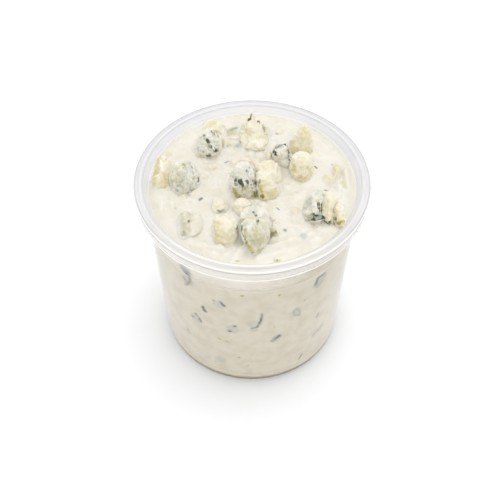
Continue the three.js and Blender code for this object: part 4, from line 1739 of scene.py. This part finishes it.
@dataclass(frozen=True)
class Dip:
    """The dip: a swirled top that climbs each crumble, and a side that fills the wall.

    Sizes are in millimetres. Round a crumble the dip swells by swell_height and, close to it, by
    fillet_height, each falling off over its reach, and it sinks away by tuck beneath the crumble.
    A sunk crumble gets sunk_swell and sunk_tuck of those. The side takes painted shade up to
    foot_tone, fading from its first height to its second, and a painted dark line line_width wide at
    line_rise over the foot.
    """

    tub: Tub
    swirl_height: float = 0.7
    curd_height: float = 0.5
    swell_height: float = 0.5
    swell_reach: float = 2.4
    fillet_height: float = 0.6
    fillet_reach: float = 0.6
    tuck: float = 2.0
    sunk_swell: float = 0.4
    sunk_tuck: float = 0.2
    slack: float = 0.15
    edge_drop: float = 0.6
    into_wall: float = 0.2
    into_collar: float = 0.8
    into_corner: float = 0.55
    top_rows: int = 165
    top_columns: int = 540
    side_rows: int = 170
    side_columns: int = 480
    under_top: float = 4.0
    foot_tone: tuple[float, float] = (2.0, 3.8)
    line_rise: float = 5.8
    line_width: float = 0.5
    back_marks: int = 46
    back_radius: float = 43.0
    halvings: int = 40

    def relief(self, x: np.ndarray, y: np.ndarray, lines: list[Waterline]) -> np.ndarray:
        """How far the top stands over its level.

        Two slow waves, bent by slower ones, carry two sizes of ripples, patches of curds and the
        spoon's folds. Round each crumble the dip swells as a bell curve of the distance to its
        outline, with a tight fillet.

        Args:
            x: places across, in millimetres.
            y: places back, in millimetres.
            lines: the outlines of the crumbles.

        Returns:
            A height in millimetres for each place.
        """
        flat = np.stack([x, y, np.zeros_like(x)], axis=-1)
        bend = 1.3 * np.sin(x / 9 + 0.6) + 1.1 * np.cos(y / 11 - 0.4)
        rise = self.swirl_height * (0.6 * np.sin(x / 6.5 + bend) + 0.4 * np.sin((x + 2 * y) / 10 - bend))
        rise += 0.6 * cloud(flat, 5.5, 3, octaves=2) + 0.3 * cloud(flat, 2.1, 9, octaves=2)
        rise += self.curd_height * smooth(0.0, 0.5, cloud(flat, 8.0, 27)) * (pebbles(flat, 2.6, 29) - 0.4)
        for fold in FOLDS:
            chain = np.array([[*fold.start, 0.0], [*fold.end, 0.0]])
            away = chain_distance(flat, chain) + 0.8 * cloud(flat, 4.0, 21)
            rise += fold.height * np.exp(-((away / (fold.width / 2)) ** 2))
        swell, sink = np.zeros_like(x), np.zeros_like(x)
        ragged = 1 + 0.6 * cloud(flat, 2.4, 35)
        for line in lines:
            beyond = line.beyond(x, y)
            away = np.maximum(0, beyond)
            climb = self.swell_height * np.exp(-((away / self.swell_reach) ** 2))
            climb += self.fillet_height * ragged * np.exp(-away / self.fillet_reach)
            swell = np.maximum(swell, (self.sunk_swell if line.sunk else 1.0) * climb)
            tuck = self.tuck * (self.sunk_tuck if line.sunk else 1.0)
            sink = np.maximum(sink, tuck * smooth(0.3, 1.6, -beyond))
        return rise + swell - sink

    @staticmethod
    def curds(x: np.ndarray, y: np.ndarray) -> tuple[np.ndarray, np.ndarray]:
        """The crumbs fused to the dip: domes with ragged feet and broken tops.

        Args:
            x: places across, in millimetres.
            y: places back, in millimetres.

        Returns:
            The crumbs' height and their straw tint at each place.
        """
        flat = np.stack([x, y, np.zeros_like(x)], axis=-1)
        ragged = 0.2 * cloud(flat, 1.6, 33, octaves=2) + 0.12 * cloud(flat, 3.4, 34)
        broken = 1 + 0.3 * chips(flat, 2.8, 43)
        height, straw = np.zeros_like(x), np.zeros_like(x)
        for lump in LUMPS:
            reach = 2 * np.hypot((x - lump.x) / lump.width, (y - lump.y) / lump.depth) + ragged
            dome = lump.rise * (1 - smooth(0.35, 1.2, reach))
            height = np.maximum(height, dome * broken) + 0.15 * np.minimum(height, dome)
            straw = np.maximum(straw, lump.straw * (1 - smooth(0.5, 1.1, reach)) * broken)
        return height, straw

    def top(self, lines: list[Waterline]) -> None:
        """Makes the top as rings from the wall to the middle, closed by a flat underside.

        Its relief fades out against the wall, where the top eases down and takes a band of painted warm and
        grey shade.

        Args:
            lines: the outlines of the crumbles.
        """
        edge = float(self.tub.inside(np.array(DIP_LEVEL))) + self.into_wall
        share = np.linspace(1, 0.004, self.top_rows)
        angle = np.arange(self.top_columns) * 2 * np.pi / self.top_columns
        radius, turn = np.meshgrid(edge * share, angle, indexing="ij")
        x, y = (radius * np.cos(turn)).ravel(), (radius * np.sin(turn)).ravel()
        outward = np.clip(radius.ravel() / edge, 0, 1)
        height, straw = self.curds(x, y)
        z = DIP_LEVEL - self.slack - self.edge_drop * outward**24
        z += (1 - outward**14) * (self.relief(x, y, lines) + height)
        floor = DIP_LEVEL - self.under_top
        rim = np.stack([x, y], axis=-1)[: self.top_columns]
        low = [np.column_stack([rim * part, np.full(len(rim), floor)]) for part in (0.3, 1.0)]
        points = np.vstack([*low, np.stack([x, y, z], axis=-1)])
        middle = float(z[-self.top_columns :].mean())
        points, faces = closed_rows(points, self.top_rows + 2, self.top_columns, floor, middle)
        level = np.column_stack([points[:, :2], np.full(len(points), DIP_LEVEL + MARK_RISE)])
        stains = stained(level, [(self.on_top(mark), mark) for mark in TOP_MARKS])
        # Painted shade in a band along the wall: warm, stronger at the sides, and grey at the sides through
        # the mould; the fused crumbs add their straw to the same attribute.
        outer = smooth(0.88, 0.99, np.hypot(points[:, 0], points[:, 1]) / edge)
        beside = np.abs(points[:, 0]) / edge
        warm = outer * (0.1 + 0.2 * beside + 0.2 * cloud(points, 5.0, 37))
        warm[len(points) - 2 - len(straw) : -2] += straw
        stains["mould"] = np.maximum(stains["mould"], 0.1 * outer * beside)
        attributes = {**stains, "coat": 0 * warm, "painted_shade_and_straw": np.clip(warm, 0, 1)}
        piece = make_piece("dip_top", points, faces, attributes)
        settle(piece, MATERIALS[DIP_FINISH.name], "dip", "dip")

    def side_section(self) -> tuple[np.ndarray, np.ndarray]:
        """The section of the side, corner and underside, which reach just into the plastic.

        Returns:
            Radii and heights, from the middle of the underside to the middle of its cover.
        """
        corner = self.tub.corner_radius - self.tub.wall_thickness
        bottom = self.tub.floor_level - self.into_wall
        turn = np.linspace(0, np.pi / 2, 13)
        push = self.into_corner * smooth(0.4, 0.95, turn) * (1 + 0.8 * np.sin(2 * turn))
        low = bottom + corner - (corner + push) * np.cos(turn)
        straight = np.linspace(low[-1], DIP_LEVEL - 0.7, self.side_rows)[1:]
        inner = float(self.tub.inside(np.array(low[-1]))) + self.into_wall - corner
        side = self.tub.inside(straight) + self.into_wall
        side += self.into_corner * (1 - smooth(low[-1], low[-1] + 2, straight))
        collar = smooth(self.tub.ledge_level + 0.5, self.tub.ledge_level + 2.5, straight)
        side += collar * (self.tub.wall(straight) + self.tub.ledge_step - self.into_collar - side)
        cover, cover_level = np.array([0.96, 0.5, 0.0]) * side[-1], DIP_LEVEL - np.array([1.6, 2.5, 2.5])
        radius = np.concatenate([[0, 0.5 * inner], inner + (corner + push) * np.sin(turn), side, cover])
        return radius, np.concatenate([[bottom, bottom], low, straight, cover_level])

    def side(self) -> None:
        """Makes the side, corner and underside of the dip, with the marks seen through the wall.

        It has painted shade at the foot, in a faint painted line over it, beside, and to the upper right.
        """
        points, faces = turned(*self.side_section(), self.side_columns)
        chains = [(self.on_wall(mark), mark) for mark in WALL_MARKS] + self.round_the_back()
        stains = stained(points, chains, wobble=0.3, holes=0.3)
        rise = points[:, 2] - self.tub.floor_level + self.into_wall
        sideways = np.abs(points[:, 0]) / np.maximum(1.0, np.hypot(points[:, 0], points[:, 1]))
        beside, right = smooth(0.8, 0.98, sideways), smooth(8, 30, points[:, 0])
        # Painted grey shade down both sides, carried with the mould.
        painted_side_grey = 0.2 * beside * smooth(15, 65, rise) * (1 + 0.6 * cloud(points, 9.0, 51))
        stains["mould"] = np.maximum(stains["mould"], painted_side_grey)
        # Painted shade: at the foot, in a faint dark line over it, down the sides, to the upper right and on
        # the collar's right.
        foot = 1 - smooth(*self.foot_tone, rise)
        foot += 0.1 * np.exp(-(((rise - self.line_rise) / self.line_width) ** 2))
        foot += 0.1 * beside * smooth(25, 60, rise) + 0.12 * right * smooth(30, 75, rise)
        foot += 0.09 * right * smooth(0.8, 2.4, points[:, 2] - self.tub.ledge_level)
        piece = make_piece("dip_side", points, faces, {**stains, "coat": 0 * foot, "painted_shade_and_straw": foot})
        settle(piece, MATERIALS[SHADED_SIDE_FINISH.name], "dip", "dip")

    def on_top(self, mark: Mark) -> np.ndarray:
        """Places a mark on the dip's top, where its sight lines meet the level.

        Args:
            mark: the mark, with its corners in the picture.

        Returns:
            Its corners in millimetres.
        """
        corners = []
        for place in mark.path:
            start, direction = VIEW.ray(*place)
            corners.append(start + direction * (DIP_LEVEL + MARK_RISE - start[2]) / direction[2])
        return np.array(corners)

    def on_wall(self, mark: Mark) -> np.ndarray:
        """Places a mark on the dip's side, where its sight lines first meet it, found by halving.

        Args:
            mark: the mark, with its corners in the picture.

        Returns:
            Its corners in millimetres.
        """
        corners = []
        for place in mark.path:
            start, direction = VIEW.ray(*place)
            nearest = -(start[:2] @ direction[:2]) / (direction[:2] @ direction[:2])
            near, far = nearest - 2 * self.tub.rim_radius, nearest
            for _ in range(self.halvings):
                half = (near + far) / 2
                point = start + half * direction
                inside = np.hypot(point[0], point[1]) < self.tub.wall(point[2]) - self.tub.wall_thickness
                near, far = (near, half) if inside else (half, far)
            corners.append(start + far * direction)
        return np.array(corners)

    def round_the_back(self) -> list[tuple[np.ndarray, Mark]]:
        """Draws marks at random over the side that is turned away, of the same kinds as in front.

        Returns:
            Corners in millimetres and mark, for each.
        """
        draw = np.random.default_rng(4)
        found = []
        for number in range(self.back_marks):
            angle = draw.uniform(math.radians(-12), math.radians(192))
            z = draw.uniform(8, DIP_LEVEL - 6)
            lean, bow = draw.uniform(-1, 1), draw.uniform(-0.5, 0.5)
            length = draw.choice([0.0, 2.0, 4.0, 5.5])
            steps = np.linspace(-0.5, 0.5, 4)
            turn = angle + length * (steps + bow * steps**2) / self.back_radius
            rise = z + length * (steps * lean - bow * (steps**2 - 0.1))
            radius = self.tub.inside(rise) + self.into_wall
            chain = np.stack([radius * np.cos(turn), radius * np.sin(turn), rise], axis=-1)
            kind = number % 4
            if kind == 0:
                found.append((chain, Mark((), draw.uniform(2.4, 4.2), draw.uniform(0.25, 0.45), 1.0)))
            if kind == 3:
                found.append((chain[:1], Mark((), draw.uniform(0.7, 1.1), 0.7, 0.4, Pigment.HERB)))
            else:
                found.append((chain, Mark((), draw.uniform(0.6, 1.2), draw.uniform(0.6, 1.0), 0.4)))
        return found


# ------------------------------------------------------------------ studio


@dataclass(frozen=True)
class Studio:
    """A white sweep, an overhead softbox and an even fill; sizes are in metres, power in watts."""

    floor_side: float = 4.0
    floor_colour: str = "#E6E7EA"
    fill: float = 1.0
    key_power: float = 1.7
    key_side: float = 0.4
    key_place: tuple[float, float, float] = (0.1, 0.11, 0.96)
    floor_glow: float = 0.2

    def floor(self) -> None:
        """Makes the pale floor."""
        half = self.floor_side / 2 / MM
        corners = np.array([[-half, -half, 0], [half, -half, 0], [half, half, 0], [-half, half, 0]])
        sweep = make_piece("floor", corners, [[0, 1, 2, 3]])
        # White paper: matt and even, with a faint glow that keeps the far side from greying.
        material, tree, output = new_material("White_paper_sweep")
        matt = {"Base Color": linear(self.floor_colour), "Roughness": 0.9, "Specular IOR Level": 0.1}
        glow = {"Emission Color": linear("#FFFFFF"), "Emission Strength": self.floor_glow}
        paper = add_node(tree, "ShaderNodeBsdfPrincipled", inputs={**matt, **glow})
        tree.links.new(paper.outputs[0], output.inputs["Surface"])
        sweep.data.materials.append(material)

    def lights(self) -> None:
        """Makes the overhead softbox and the even fill from the surroundings."""
        world = bpy.data.worlds.new("Studio_fill")
        world.use_nodes = True
        background = world.node_tree.nodes["Background"]
        background.inputs["Color"].default_value = linear("#FFFFFF")
        background.inputs["Strength"].default_value = self.fill
        bpy.context.scene.world = world
        data = bpy.data.lights.new("Overhead_softbox", "AREA")
        data.shape = "DISK"
        data.size = self.key_side
        data.energy = self.key_power
        lamp = bpy.data.objects.new("Overhead_softbox", data)
        lamp.location = self.key_place
        across, back, up = self.key_place
        lamp.rotation_euler = (math.atan2(-back, up), math.atan2(across, up), 0)
        bpy.context.scene.collection.objects.link(lamp)

    def build(self) -> None:
        """Makes the whole studio."""
        self.floor()
        self.lights()
        bpy.context.scene.view_settings.view_transform = "Standard"


# ------------------------------------------------------------------ making


def main() -> None:
    """Builds the studio, the tub, the crumbles and the dip, in that order."""
    logging.basicConfig(level=logging.INFO, format="%(name)s: %(message)s")
    VIEW.camera()
    Studio().build()
    for finish in (DIP_FINISH, SHADED_SIDE_FINISH, PALE_FINISH, VEINED_FINISH):
        MATERIALS[finish.name] = finish.material()
    low, high = box_mm("tub")
    tub = Tub(rim_radius=float(high[0] - low[0]) / 2, height=float(high[2]))
    tub.build()
    lines = [crumble.build() for crumble in CRUMBLES]
    dip = Dip(tub)
    dip.top(lines)
    dip.side()


if __name__ == "__main__":
    main()
